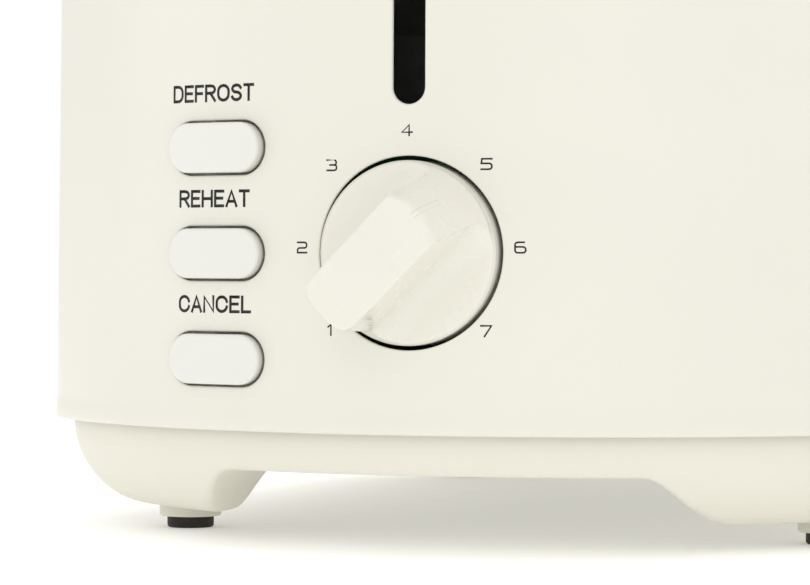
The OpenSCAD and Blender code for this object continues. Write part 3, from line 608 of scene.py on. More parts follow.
LINER_LOW, LINER_HIGH = mm_box("slot_liner_right")
BREAD_X = (LINER_LOW[0] + LINER_HIGH[0]) / 2
BREAD_W = LINER_HIGH[0] - LINER_LOW[0] + 0.6
BREAD_L = LINER_HIGH[1] - LINER_LOW[1] + 0.6
BREAD_EDGE, BREAD_CORNER = 1.6, 4.0
PULL_LOW, PULL_HIGH = mm_box("tray_pull")
PULL_W, PULL_H = PULL_HIGH[0] - PULL_LOW[0], PULL_HIGH[2] - PULL_LOW[2]
PULL_Z = (PULL_LOW[2] + PULL_HIGH[2]) / 2
PULL_GAP, PULL_CORNER = 0.6, 3.0
BUSH_LOW, BUSH_HIGH = mm_box("cord_bush")
BUSH_Z = (BUSH_LOW[2] + BUSH_HIGH[2]) / 2
BUSH_FLANGE_R = (BUSH_HIGH[0] - BUSH_LOW[0]) / 2
BUSH_NECK_R = BUSH_FLANGE_R - 2.6


def button_z(name):
    low, high = mm_box(name)
    return (low[2] + high[2]) / 2


def top_sheet(skin, depth, holes):
    """The flat top, inside the edge's round, with the bread slots left out."""
    ring, _ = on_wall(S_STATIONS[:-1], np.full(len(S_STATIONS) - 1, V_HIGH), depth)
    border = ring[:, :2]
    x, y = np.meshgrid(np.arange(-84, 85, 6.0), np.arange(-132, 133, 6.0))
    grid = np.stack([x.ravel(), y.ravel()], 1)
    grid = grid[inside(grid, border) & ~near(grid, border, 2.5)]
    flat, faces = triangulate(grid, border, holes, 2.0)
    points = lift(flat, TOP_Z - depth)
    normals = np.tile([0, 0, 1.0 if depth == 0 else -1.0], (len(flat), 1))
    skin.add(points, faces, normals, flip=depth > 0)


def bread_slot(skin, x):
    """The rounded rim of a bread slot, from the top down through the wall. Returns its two outlines."""
    loop = grown_box(x, 0, BREAD_W, BREAD_L, BREAD_CORNER, 8, 20)
    rows, normals = [], []
    outer = loop(BREAD_EDGE)
    aside = loop_normals(outer)
    for k in range(EDGE_STEPS + 2):
        phi = min(k / EDGE_STEPS, 1) * math.pi / 2
        ring = loop(BREAD_EDGE * (1 - math.sin(phi)))
        z = TOP_Z - (BREAD_EDGE * (1 - math.cos(phi)) if k <= EDGE_STEPS else WALL)
        rows.append(lift(ring, z))
        normals.append(np.column_stack([-aside * math.sin(phi), np.full(len(ring), math.cos(phi))]))
    skin.rows(rows, np.concatenate(normals), flip=True)
    return outer, loop(0.0)


def make_casing():
    skin = Skin()
    holes = [
        wall_hole(skin, lambda g: circle_loop(0, KNOB_Z, KNOB_R + KNOB_GAP + g), 0.35),
        wall_hole(skin, grown_box(0, (SLOT_LOW_Z + SLOT_HIGH_Z) / 2, SLOT_W, SLOT_HIGH_Z - SLOT_LOW_Z,
                                  SLOT_W / 2 - 1e-4, 14, 40), 0.45),
        wall_hole(skin, grown_box(0, PULL_Z, PULL_W + 2 * PULL_GAP, PULL_H + 2 * PULL_GAP,
                                  PULL_CORNER + PULL_GAP, 8, 40), 0.4, front=False),
        wall_hole(skin, lambda g: circle_loop(0, BUSH_Z, BUSH_NECK_R + g, 48), 0.3, front=False),
    ]
    for name in BUTTONS:
        holes.append(wall_hole(skin, grown_box(BUTTON_X, button_z(name), BUTTON_W, BUTTON_H,
                                               BUTTON_H / 2 - 1e-4, 24, 12), 0.45))
    slots = [bread_slot(skin, side * BREAD_X) for side in (-1, 1)]
    fillet = np.linspace(LEAN_HIGH_Z, V_HIGH, 15)[1:]
    low = np.concatenate([np.linspace(V_LOW, LIP_TOP_V, 6)[:-1], steps((LIP_TOP_V, LIP_TOP_V + 5, 0.7))])
    outer_levels = np.concatenate([low, steps((low[-1], LEAN_HIGH_Z, 3.2))[1:], fillet])
    wall_sheet(skin, [h[0] for h in holes], outer_levels, 0.0)
    inner_fillet = np.linspace(LEAN_HIGH_Z, V_HIGH, 7)[1:]
    inner_levels = np.concatenate([steps((LIP_TOP_V, LEAN_HIGH_Z, 8)), inner_fillet])
    wall_sheet(skin, [h[1] for h in holes], inner_levels, WALL)
    top_sheet(skin, 0.0, [s[0] for s in slots])
    top_sheet(skin, WALL, [s[1] for s in slots])
    rim = S_STATIONS[:-1]
    outer, _ = on_wall(rim, np.full(len(rim), V_LOW))
    corner, _ = on_wall(rim, np.full(len(rim), LIP_TOP_V), WALL)
    under = corner.copy()
    under[:, 2] = SKIRT_Z
    skin.rows([outer, under], flip=True)
    skin.rows([under, corner], flip=True)
    return skin.make("casing_shell", MATERIALS["casing"], "chassis", CASING_NODES)


make_casing()


# ---------------------------------------------------------------- the base

def inset_of(x, y):
    """Distance of plan points from the casing's outline, for points inside it."""
    x, y = np.abs(x), np.abs(y)
    from_bow = np.arctan2(x, y - BOW_Y)
    bow = np.where(from_bow < BOW_A, BOW_R - np.hypot(x, y - BOW_Y), 1e9)
    side = np.where(y < CORNER_Y, HALF_W - x, 1e9)
    corner = (y >= CORNER_Y) & (x >= CORNER_X) & (from_bow >= BOW_A)
    corner = np.where(corner, CORNER_R - np.hypot(x - CORNER_X, y - CORNER_Y), 1e9)
    return np.minimum(np.minimum(bow, side), corner)


BOWL_Z = SKIRT_Z - BOWL_H
ARCH_Z = 15.0
TONGUE_Z = SKIRT_Z + 4.7
FLOOR_Z = ARCH_Z + 2.5
EDGE_ROUND = 1.3


def hollow_height(x, y):
    """Height of the hollow under the base: flat, then an S down to each foot's round inner corner."""
    from_x = np.maximum(ARCH_HALF_W + ARCH_RUN + LOBE_R - np.abs(x), 0)
    from_y = np.maximum(ARCH_HALF_L + ARCH_RUN + LOBE_R - np.abs(y), 0)
    t = np.clip(1 - (np.hypot(from_x, from_y) - LOBE_R) / ARCH_RUN, 0, 1) ** 1.25
    return BOWL_Z + (ARCH_Z - BOWL_Z) * (1 - t * t * (3 - 2 * t))


def smooth_max(a, b, reach):
    h = np.maximum(reach - np.abs(a - b), 0) / reach
    return np.maximum(a, b) + h * h * reach / 4


def base_height(x, y):
    """Height of the base's underside."""
    inset = np.clip((inset_of(x, y) - BASE_INSET) / BOWL_IN, 0, 1)
    bowl = SKIRT_Z - BOWL_H * np.sqrt(1 - (1 - inset) ** 2)
    return smooth_max(bowl, hollow_height(x, y), EDGE_ROUND)


def base_stations():
    """Arc lengths round the base, close together where the gaps between the feet end."""
    bow = [BOW_R * math.asin(turn / BOW_R) for turn in (ARCH_HALF_W, ARCH_HALF_W + ARCH_RUN)]
    side = [QUARTER - ARCH_HALF_L - ARCH_RUN, QUARTER - ARCH_HALF_L]
    marks = [0, bow[0] - 3, bow[1] + 3, side[0] - 3, side[1] + 3, QUARTER]
    quarter = steps(*zip(marks[:-1], marks[1:], (2.2, 0.45, 1.5, 0.45, 3)))
    half = np.concatenate([quarter, 2 * QUARTER - quarter[::-1][1:]])
    return np.concatenate([half, 4 * QUARTER - half[::-1][1:-1]])


def make_base():
    skin = Skin()
    s = base_stations()
    x, y, nx, ny = outline(s)
    rim = np.stack([x - BASE_INSET * nx, y - BASE_INSET * ny], 1)
    centre = np.stack([0 * x, np.clip(y, -85, 85)], 1)
    reach = np.linalg.norm(rim - centre, axis=1)
    t = np.linspace(0, math.pi / 2, 25)
    inward = np.concatenate([BOWL_IN * (1 - np.cos(t)), steps((BOWL_IN, 56, 0.75))[1:]])
    rows = []
    for distance in inward:
        plan = rim + (centre - rim) * (distance / reach)[:, None]
        z = base_height(plan[:, 0], plan[:, 1]) if distance > 0 else np.full(len(plan), SKIRT_Z)
        rows.append(lift(plan, z))
    for share in (0.5, 1.0):
        last = rows[-1][:, :2]
        plan = last + (centre - last) * share
        rows.append(lift(plan, ARCH_Z))
    skin.rows(rows, flip=True)
    inner = np.stack([x - (BASE_INSET + WALL) * nx, y - (BASE_INSET + WALL) * ny], 1)
    skin.rows([lift(rim, SKIRT_Z), lift(rim, TONGUE_Z)])
    skin.rows([lift(rim, TONGUE_Z), lift(inner, TONGUE_Z)])
    skin.rows([lift(inner, TONGUE_Z), lift(inner, FLOOR_Z)])
    skin.rows([lift(inner, FLOOR_Z), lift(centre, FLOOR_Z)])
    for foot in FEET:
        add_foot_boss(skin, *foot_centre(foot))
    return skin.make("base_shell", MATERIALS["base"], "chassis", ["base"])


FEET = ["foot_front_left", "foot_front_right", "foot_rear_left", "foot_rear_right"]
FOOT_R, BOSS_R, BOSS_LOW_Z = 4.9, 6.5, 2.4
FOOT_TOP_Z = BOSS_LOW_Z + 0.7
RECESS_R, RECESS_Z = FOOT_R + 0.1, BOSS_LOW_Z + 0.9     # the boss's recess for the foot


def foot_centre(name):
    low, high = mm_box(name)
    return (low[0] + high[0]) / 2, (low[1] + high[1]) / 2 - MID_Y


def lathe(skin, profile, centre, axis="z", n=64, flip=False):
    """Turns (radius, height) points about an axis through centre: z is up, y runs backwards."""
    a = np.linspace(0, 2 * math.pi, n, endpoint=False)
    rows = []
    for r, h in profile:
        ring = xyz(r * np.cos(a), r * np.sin(a), h)
        if axis == "y":
            ring = ring[:, [0, 2, 1]]
        rows.append(ring + centre)
    skin.rows(rows, flip=flip)


def round_corner(r, h, edge, start, end, n=5):
    """Profile points of a quarter round about (r, h), from angle start to end in degrees."""
    a = np.radians(np.linspace(start, end, n))
    return list(zip(r + edge * np.cos(a), h + edge * np.sin(a)))


def add_foot_boss(skin, x, y):
    edge = 0.5
    profile = [(BOSS_R, BOWL_Z + 4), (BOSS_R, BOSS_LOW_Z + edge)]
    profile += round_corner(BOSS_R - edge, BOSS_LOW_Z + edge, edge, 0, -90)
    lathe(skin, profile, (x, y, 0), flip=True)
    corners = [(BOSS_R - edge, BOSS_LOW_Z), (RECESS_R, BOSS_LOW_Z), (RECESS_R, RECESS_Z), (0, RECESS_Z)]
    for start, end in zip(corners, corners[1:]):
        lathe(skin, [start, end], (x, y, 0), flip=True)


def make_foot(name):
    x, y = foot_centre(name)
    skin = Skin()
    edge = 0.6
    lathe(skin, [(0, 0), (FOOT_R - edge, 0)], (x, y, 0))
    profile = round_corner(FOOT_R - edge, edge, edge, -90, 0) + [(FOOT_R, FOOT_TOP_Z)]
    lathe(skin, profile, (x, y, 0))
    lathe(skin, [(FOOT_R, FOOT_TOP_Z), (0, FOOT_TOP_Z)], (x, y, 0))
    skin.make(name + "_pad", MATERIALS["foot"], "chassis", [name])


make_base()
for foot in FEET:
    make_foot(foot)


# ---------------------------------------------------------------- the browning knob

BAR_H = 16.5
BAR_SOFT = 0.45                         # round of the bar's top edges
BAR_HALF_W = 6.3
BAR_ANGLE = math.radians(225)
WALL_RUN = 0.3                          # how far the bar's steep sides lean
FILLET_R = 5.0                          # hollow between the bar's sides and the disc
HILL_R = 10.8                           # the bar's ends fall straight from this radius
HILL_SLOPE = 2.48
POINTER_HALF_W, POINTER_R, POINTER_CORNER = 6.2, 16.3, 2.0
EDGE_RINGS_FROM = 7.5                   # along the bar: mesh points follow the pointer's edge from here
DISC_R = KNOB_R
DISC_EDGE = 0.5
KNOB_FACE_Y = KNOB_LOW[1] - MID_Y + BAR_H


def ease(x, low, high):
    t = np.clip((x - low) / (high - low), 0, 1)
    return t * t * (3 - 2 * t)


def edge_height(away, run, foot):
    """Height near an edge of the bar: flat, a small round, then a steep fall to the foot's height."""
    turn = np.clip((away + BAR_SOFT) / BAR_SOFT, 0, 0.97)
    top = BAR_H - BAR_SOFT * (1 - np.sqrt(1 - turn ** 2))
    edge = BAR_H - BAR_SOFT * (1 - math.sqrt(1 - 0.97 ** 2))
    return np.where(away < 0, top, edge + (foot - edge) * np.clip(away / run, 0, 1))


def pointer_away(u, w):
    """Distance outside the pointer's plan, which has two round corners at its tip."""
    past_side = np.abs(w) - POINTER_HALF_W + POINTER_CORNER
    past_tip = np.hypot(u, w) - POINTER_R + POINTER_CORNER
    outside = np.hypot(np.maximum(past_side, 0), np.maximum(past_tip, 0))
    return outside + np.minimum(np.maximum(past_side, past_tip), 0) - POINTER_CORNER


def knob_height(u, w):
    """Height of the knob's face over (along, across) the bar, from the disc's plane outwards."""
    r = np.hypot(u, w)
    disc = 0.9 - 1.5 * (r / DISC_R) ** 2
    away = np.abs(w) - BAR_HALF_W
    reach = np.clip(FILLET_R + WALL_RUN - away, 0, FILLET_R)
    fillet = FILLET_R + 0.4 - np.sqrt(FILLET_R ** 2 - reach ** 2)
    side = np.where(away < WALL_RUN, edge_height(away, WALL_RUN, FILLET_R + 0.4), fillet)
    hill = -smooth_max(HILL_SLOPE * (r - HILL_R) - BAR_H, np.full_like(r, -BAR_H), 2.0)
    body = -smooth_max(-side, -hill, 0.8)
    ridge = ease(u, -14.2, -13.2) * (1 - ease(u, -10.2, -9.2)) * np.sqrt(np.clip(1 - (w / 0.5) ** 2, 0, 1))
    tip_run = WALL_RUN + 0.5 * np.clip((r - POINTER_R + POINTER_CORNER) / POINTER_CORNER, 0, 1)
    pointer = np.where(u > 0, edge_height(pointer_away(u, w), tip_run, 0.0), 0.0)
    return smooth_max(np.maximum(body + 0.5 * ridge, pointer), disc, 0.5)


def knob_normal(u, w):
    d = 0.012
    hu = (knob_height(u + d, w) - knob_height(u - d, w)) / (2 * d)
    hw = (knob_height(u, w + d) - knob_height(u, w - d)) / (2 * d)
    return unit(xyz(-hu, -hw, 1))


def knob_place(local):
    """From (along, across, out) to the casing's coordinates."""
    along = np.array([math.cos(BAR_ANGLE), math.sin(BAR_ANGLE)])
    x = local[..., 0] * along[0] - local[..., 1] * along[1]
    z = local[..., 0] * along[1] + local[..., 1] * along[0]
    return xyz(x, -local[..., 2], z)


def make_knob():
    skin = Skin()
    reach = DISC_R - DISC_EDGE
    a = np.linspace(0, 2 * math.pi, 361)[:-1]
    border = np.stack([reach * np.cos(a), reach * np.sin(a)], 1)
    across = np.concatenate([[0, 0.15, 0.3, 0.42, 0.5, 0.6], np.arange(0.9, 5.7, 0.5),
                             np.arange(5.7, 6.3, 0.08), [6.3, 6.4, 6.5, 6.6, 6.66, 6.75],
                             np.arange(6.9, 12, 0.3), np.arange(12, 17.2, 0.6)])
    along = np.concatenate([np.arange(-17.1, -8, 0.2), np.arange(-8, 8, 0.7), np.arange(8, 17.2, 0.2)])
    u, w = np.meshgrid(along, np.concatenate([-across[:0:-1], across]))
    grid = np.stack([u.ravel(), w.ravel()], 1)
    off_edge = (grid[:, 0] < EDGE_RINGS_FROM) | (np.abs(pointer_away(*grid.T)) > 1.0)
    grid = grid[(np.hypot(*grid.T) < reach - 0.1) & off_edge]
    ray = np.radians(np.arange(-42, 42.1, 0.7))
    for away in (-0.9, -0.6, -0.45, -0.35, -0.25, -0.15, -0.08, 0, 0.1, 0.2, 0.3, 0.4, 0.5, 0.6, 0.75, 0.9):
        near_r, far_r = np.full_like(ray, 2.0), np.full_like(ray, reach + 1)
        for _ in range(30):
            r = (near_r + far_r) / 2
            out = pointer_away(r * np.cos(ray), r * np.sin(ray)) > away
            near_r, far_r = np.where(out, near_r, r), np.where(out, r, far_r)
        ring = np.stack([r * np.cos(ray), r * np.sin(ray)], 1)
        grid = np.concatenate([grid, ring[(r < reach - 0.05) & (ring[:, 0] > EDGE_RINGS_FROM)]])
    flat, faces = triangulate(grid, border, [], 0)
    height = knob_height(flat[:, 0], flat[:, 1])
    local = lift(flat, height)
    skin.add(knob_place(local), faces, knob_place(knob_normal(flat[:, 0], flat[:, 1])))
    rows, normals = [], []
    rim_h = knob_height(border[:, 0], border[:, 1])
    base_n = knob_normal(border[:, 0], border[:, 1])
    radial = xyz(np.cos(a), np.sin(a), 0)
    for phi in np.radians([0, 22, 45, 67, 90]):
        r = reach + DISC_EDGE * math.sin(phi)
        rows.append(xyz(r * np.cos(a), r * np.sin(a), rim_h - DISC_EDGE * (1 - math.cos(phi))))
        normals.append(unit(base_n * math.cos(phi) + radial * math.sin(phi)))
    low = np.full_like(a, KNOB_FACE_Y - (KNOB_HIGH[1] - MID_Y))
    rows.append(xyz(DISC_R * np.cos(a), DISC_R * np.sin(a), low))
    normals.append(radial)
    inner = [xyz((DISC_R - WALL) * np.cos(a), (DISC_R - WALL) * np.sin(a), low * k) for k in (1.0, 0.4)]
    skin.rows(knob_place(np.array(rows)), knob_place(np.concatenate(normals)))
    skin.rows(knob_place(np.array([rows[-1], inner[0]])), flip=True)
    skin.rows(knob_place(np.array(inner)), flip=True)
    hub = xyz(0, 0, low * 0.4)
    skin.rows(knob_place(np.array([inner[1], hub])), flip=True)
    skin.points = [p + [0, KNOB_FACE_Y, KNOB_Z] for p in skin.points]
    return skin.make("browning_knob_skin", MATERIALS["knob"], "knob", ["browning_knob"])


make_knob()


# ---------------------------------------------------------------- the push buttons

CAP_BACK_Y = -138.0
FLANGE_FRONT, FLANGE_BACK = 4.5, 6.0    # depth of a cap's flange below the casing's surface


def under_bow(plan, depth):
    """Front-view (x, z) points laid at a depth below the front bow's surface."""
    return xyz(plan[:, 0], bow_y(plan[:, 0], plan[:, 1], depth), plan[:, 1])


def make_button(name):
    z = button_z(name)
    face_w, face_h = BUTTON_W - 2 * BUTTON_GAP, BUTTON_H - 2 * BUTTON_GAP
    edge = 0.7
    skin = Skin()
    rows, normals = [], []
    full = stadium_loop(0, 0, face_w, face_h)
    aside = loop_normals(full)

    def ring(plan, sink, phi):
        x = plan[:, 0] + BUTTON_X
        y = -BOW_Y - np.sqrt((BOW_R + BUTTON_OUT) ** 2 - x ** 2) + sink
        lean_x = x / (BOW_R + BUTTON_OUT)
        face = xyz(lean_x, -np.sqrt(1 - lean_x ** 2), 0)
        out = xyz(aside[:, 0], 0, aside[:, 1])
        rows.append(xyz(x, y, plan[:, 1] + z))
        normals.append(face * math.cos(phi) + out * math.sin(phi))

    flat = full - aside * edge
    for share in (0.0, 0.3, 0.6, 0.8, 0.9, 0.96):
        ring(flat * share, 0, 0)
    for phi in np.radians([0, 18, 36, 54, 72, 90]):
        ring(flat + aside * edge * math.sin(phi), edge * (1 - math.cos(phi)), phi)
    rows.append(xyz(full[:, 0] + BUTTON_X, CAP_BACK_Y, full[:, 1] + z))
    normals.append(normals[-1])
    skin.rows(rows, np.concatenate(normals))
    flange = stadium_loop(BUTTON_X, z, BUTTON_W + 2, BUTTON_H + 3)
    body = stadium_loop(BUTTON_X, z, face_w, face_h)
    centre = flange * 0 + [BUTTON_X, z]
    skin.rows([under_bow(body, FLANGE_FRONT), under_bow(flange, FLANGE_FRONT)], flip=True)
    skin.rows([under_bow(flange, FLANGE_BACK), under_bow(centre, FLANGE_BACK)])
    skin.rows([under_bow(flange, FLANGE_FRONT), under_bow(flange, FLANGE_BACK)])
    skin.make(name + "_cap", MATERIALS["button"], name.split("_")[0], [name])


for button in BUTTONS:
    make_button(button)


# ---------------------------------------------------------------- the lever grip

GRIP_LOW, GRIP_HIGH = mm_box("lever_grip")
FRONT_ROUND, REAR_ROUND = (7.0, 3.2), (2.2, 1.2)        # how far the ends round in, along x and z
GRIP_CORNER = 5.0


def make_grip():
    skin = Skin()
    w, h = GRIP_HIGH[0] - GRIP_LOW[0], GRIP_HIGH[2] - GRIP_LOW[2]
    depth = GRIP_HIGH[1] - GRIP_LOW[1]
    z = (GRIP_HIGH[2] + GRIP_LOW[2]) / 2
    y0 = GRIP_LOW[1] - MID_Y
    rows = []
    stations = [(phi, 0) for phi in np.radians([90, 84, 76, 66, 56, 46, 36, 26, 16, 8, 0])]
    stations += [(phi, 1) for phi in np.radians([0, 20, 40, 60, 80, 90])]
    for phi, back in stations:
        round_x, round_z = REAR_ROUND if back else FRONT_ROUND
        in_x, in_z = round_x * (1 - math.cos(phi)), round_z * (1 - math.cos(phi))
        from_end = round_x * (1 - math.sin(phi))
        y = y0 + (depth - from_end if back else from_end)
        corner = GRIP_CORNER - 0.35 * in_z - 0.2 * in_x
        loop = box_loop(0, z, w - 2 * in_x, h - 2 * in_z, corner, 8, 8)
        rows.append(xyz(loop[:, 0], y, loop[:, 1]))

    def shrunk(row, share):
        return xyz(row[:, 0] * share, row[:, 1], z + (row[:, 2] - z) * share)

    front = [shrunk(rows[0], share) for share in (0.02, 0.5, 0.9)]
    rear = [shrunk(rows[-1], share) for share in (0.9, 0.02)]
    skin.rows([*front, *rows, *rear])
    skin.make("lever_grip_skin", MATERIALS["knob"], "carriage", ["lever_grip"])


make_grip()


# ---------------------------------------------------------------- the lift spring

SPRING_WIRE_R, SPRING_TURNS = 0.5, 11


def make_spring():
    """A wire coil wound along the lift spring's length."""
    low, high = mm_box("lift_spring")
    x, y = (low[0] + high[0]) / 2, (low[1] + high[1]) / 2 - MID_Y
    r = (high[0] - low[0]) / 2 - SPRING_WIRE_R
    t = np.linspace(0, 1, SPRING_TURNS * 30 + 1)[:, None]
    a = 2 * math.pi * SPRING_TURNS * t
    z = low[2] + SPRING_WIRE_R + (high[2] - low[2] - 2 * SPRING_WIRE_R) * t
    path = np.concatenate([x + r * np.cos(a), y + r * np.sin(a), z], 1)[:, None]
    radial = np.concatenate([np.cos(a), np.sin(a), 0 * a], 1)[:, None]
    around = np.linspace(0, 2 * math.pi, 11)[:-1][None, :, None]
    section = radial * np.cos(around) + np.array([0, 0, 1.0]) * np.sin(around)
    skin = Skin()
    skin.rows(path + SPRING_WIRE_R * section, section)
    for end in (0, -1):
        skin.rows([path[end] + SPRING_WIRE_R * section[end], path[end] + 0 * section[end]], flip=end == 0)
    piece = skin.make("lift_spring_coil", MATERIALS["steel"], "chassis", ["lift_spring"])
    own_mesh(piece)


make_spring()


# ---------------------------------------------------------------- the tray's pull and the cord's bush

SCOOP_DEPTH, SCOOP_HALF_W, SCOOP_H = 4.5, 19, 8.5


def make_pull():
    skin = Skin()
    edge, corner = 0.6, PULL_CORNER
    end_y = PULL_LOW[1] - MID_Y
    reach = BOW_R - 0.4

    def surface(x, z):
        from_middle = np.hypot(x / SCOOP_HALF_W, (z - PULL_LOW[2]) / SCOOP_H)
        scoop = SCOOP_DEPTH * ease(1 - from_middle, 0, 0.75)
        return BOW_Y + np.sqrt(reach ** 2 - x ** 2) - scoop

    def normal(x, z):
        d = 0.03
        slope_x = (surface(x + d, z) - surface(x - d, z)) / (2 * d)
        slope_z = (surface(x, z + d) - surface(x, z - d)) / (2 * d)
        return unit(xyz(-slope_x, 1, -slope_z))

    full = box_loop(0, PULL_Z, PULL_W, PULL_H, corner, 8, 60)
    border = box_loop(0, PULL_Z, PULL_W - 2 * edge, PULL_H - 2 * edge, corner - edge, 8, 60)
    x, z = np.meshgrid(np.arange(-55, 55.1, 1.0), np.arange(PULL_LOW[2] + 1, PULL_HIGH[2] - 0.9, 0.8))
    grid = np.stack([x.ravel(), z.ravel()], 1)
    grid = grid[inside(grid, border) & ~near(grid, border, 0.5)]
    flat, faces = triangulate(grid, border, [], 0)
    points = xyz(flat[:, 0], surface(flat[:, 0], flat[:, 1]), flat[:, 1])
    skin.add(points, faces, normal(flat[:, 0], flat[:, 1]))
    rows, normals = [], []
    aside = unit(full - border)
    face = normal(border[:, 0], border[:, 1])
    for phi in np.radians([0, 22, 45, 67, 90]):
        ring = border + aside * edge * math.sin(phi)
        y = surface(border[:, 0], border[:, 1]) - edge * (1 - math.cos(phi))
        rows.append(xyz(ring[:, 0], y, ring[:, 1]))
        normals.append(face * math.cos(phi) + xyz(aside[:, 0], 0, aside[:, 1]) * math.sin(phi))
    rows.append(xyz(full[:, 0], end_y, full[:, 1]))
    normals.append(normals[-1])
    skin.rows(rows, np.concatenate(normals))
    back = rows[-1]
    skin.rows([back, xyz(back[:, 0] * 0.9, back[:, 1], PULL_Z)], flip=True)
    skin.make("tray_pull_skin", MATERIALS["casing"], "tray", ["tray_pull"])


def make_bush():
    skin = Skin()
    low, high = BUSH_LOW[1] - MID_Y, BUSH_HIGH[1] - MID_Y
    bore, edge, mouth = 3.6, 0.8, 1.4
    flange = HALF_L
    centre = (0, 0, BUSH_Z)
    lathe(skin, [(BUSH_NECK_R - 1, low), (BUSH_NECK_R - 1, flange)], centre, "y", flip=True)
    lathe(skin, [(BUSH_NECK_R - 1, flange), (BUSH_FLANGE_R, flange)], centre, "y", flip=True)
    profile = [(BUSH_FLANGE_R, flange), (BUSH_FLANGE_R, high - edge)]
    profile += round_corner(BUSH_FLANGE_R - edge, high - edge, edge, 30, 90, 3)
    profile += round_corner(bore + mouth, high - mouth, mouth, 90, 180, 4)
    lathe(skin, profile, centre, "y", flip=True)
    lathe(skin, [(bore, high - mouth), (bore, low)], centre, "y", flip=True)
    lathe(skin, [(bore, low), (BUSH_NECK_R - 1, low)], centre, "y", flip=True)
    skin.make("cord_bush_skin", MATERIALS["bush"], "chassis", ["cord_bush"])


make_pull()
make_bush()


# ---------------------------------------------------------------- printed words and figures

def arc(cx, cy, rx, ry, start, end, n=7):
    a = np.radians(np.linspace(start, end, n))
    return [(cx + rx * math.cos(t), cy + ry * math.sin(t)) for t in a]


# Each letter is a set of strokes in a box one wide and one high.
LETTERS = {
    "D": [[(0, 0), (0, 1), (0.5, 1)] + arc(0.5, 0.6, 0.5, 0.4, 90, 0)
          + arc(0.5, 0.4, 0.5, 0.4, 0, -90) + [(0, 0)]],
    "E": [[(1, 1), (0, 1), (0, 0), (1, 0)], [(0, 0.52), (0.88, 0.52)]],
    "F": [[(1, 1), (0, 1), (0, 0)], [(0, 0.5), (0.86, 0.5)]],
    "R": [[(0, 0), (0, 1), (0.6, 1)] + arc(0.6, 0.75, 0.4, 0.25, 90, -90) + [(0, 0.5)],
          [(0.5, 0.5), (1, 0)]],
    "O": [arc(0.5, 0.62, 0.5, 0.38, 0, 180, 11) + arc(0.5, 0.38, 0.5, 0.38, 180, 360, 11) + [(1, 0.62)]],
    "S": [arc(0.5, 0.76, 0.48, 0.24, 15, 270, 12) + arc(0.5, 0.26, 0.5, 0.26, 90, -165, 12)],
    "T": [[(0, 1), (1, 1)], [(0.5, 1), (0.5, 0)]],
    "H": [[(0, 0), (0, 1)], [(1, 0), (1, 1)], [(0, 0.5), (1, 0.5)]],
    "A": [[(0, 0), (0.5, 1), (1, 0)], [(0.17, 0.3), (0.83, 0.3)]],
    "C": [arc(0.5, 0.62, 0.5, 0.38, 10, 180, 10) + arc(0.5, 0.38, 0.5, 0.38, 180, 350, 10)],
    "N": [[(0, 0), (0, 1), (1, 0), (1, 1)]],
    "L": [[(0, 1), (0, 0), (1, 0)]],
    "1": [[(0.2, 0.78), (0.5, 1), (0.5, 0)]],
    "2": [[(0, 1), (0.75, 1)] + arc(0.75, 0.78, 0.25, 0.22, 90, 0) + arc(0.75, 0.66, 0.25, 0.2, 0, -90)
          + arc(0.25, 0.26, 0.25, 0.2, 90, 180) + [(0, 0), (1, 0)]],
    "3": [[(0, 1), (0.75, 1)] + arc(0.72, 0.8, 0.25, 0.2, 90, 0)
          + arc(0.7, 0.7, 0.27, 0.18, 0, -90) + [(0.3, 0.52)],
          arc(0.72, 0.36, 0.28, 0.16, 90, 0) + arc(0.75, 0.2, 0.25, 0.2, 0, -90) + [(0, 0)]],
    "4": [[(0.72, 0), (0.72, 1), (0, 0.3), (1, 0.3)]],
    "5": [[(1, 1), (0.06, 1), (0, 0.56), (0.7, 0.56)] + arc(0.72, 0.34, 0.28, 0.22, 90, 0)
          + arc(0.72, 0.22, 0.28, 0.22, 0, -90) + [(0, 0)]],
    "6": [[(0.85, 1), (0.3, 1)] + arc(0.3, 0.78, 0.3, 0.22, 90, 180) + arc(0.28, 0.22, 0.28, 0.22, 180, 270)
          + arc(0.72, 0.22, 0.28, 0.22, 270, 360) + arc(0.72, 0.34, 0.28, 0.22, 0, 90) + [(0, 0.56)]],
    "7": [[(0, 1), (1, 1), (0.35, 0)]],
}


def stroke_sides(line, half):
    """Left and right sides of a stroke along a line, mitred at its corners."""
    line = np.asarray(line, float)
    step = unit(np.diff(line, axis=0))
    line[0] -= step[0] * half * 0.98
    line[-1] += step[-1] * half * 0.98
    aside = np.stack([-step[:, 1], step[:, 0]], 1)
    before, after = np.vstack([aside[:1], aside]), np.vstack([aside, aside[-1:]])
    mitre = before + after
    mitre /= np.maximum((mitre * before).sum(1, keepdims=True), 0.55)
    return line + mitre * half, line - mitre * half


# How wide a letter is beside the others; those not named are 1.
LETTER_WIDTHS = {"E": 0.84, "F": 0.8, "R": 0.98, "O": 1.12, "S": 0.92, "T": 0.86, "C": 1.08, "L": 0.78}


def dedupe(points):
    kept = [points[0]]
    for p in points[1:]:
        if math.hypot(p[0] - kept[-1][0], p[1] - kept[-1][1]) > 1e-4:
            kept.append(p)
    return kept


def lay_on_wall(plan, depth):
    """Points at (arc length, height), at a depth below the wall's surface."""
    x, y, nx, ny = outline(plan[:, 0])
    inset = lean(plan[:, 1]) + depth
    return xyz(x - inset * nx, y - inset * ny, plan[:, 1])


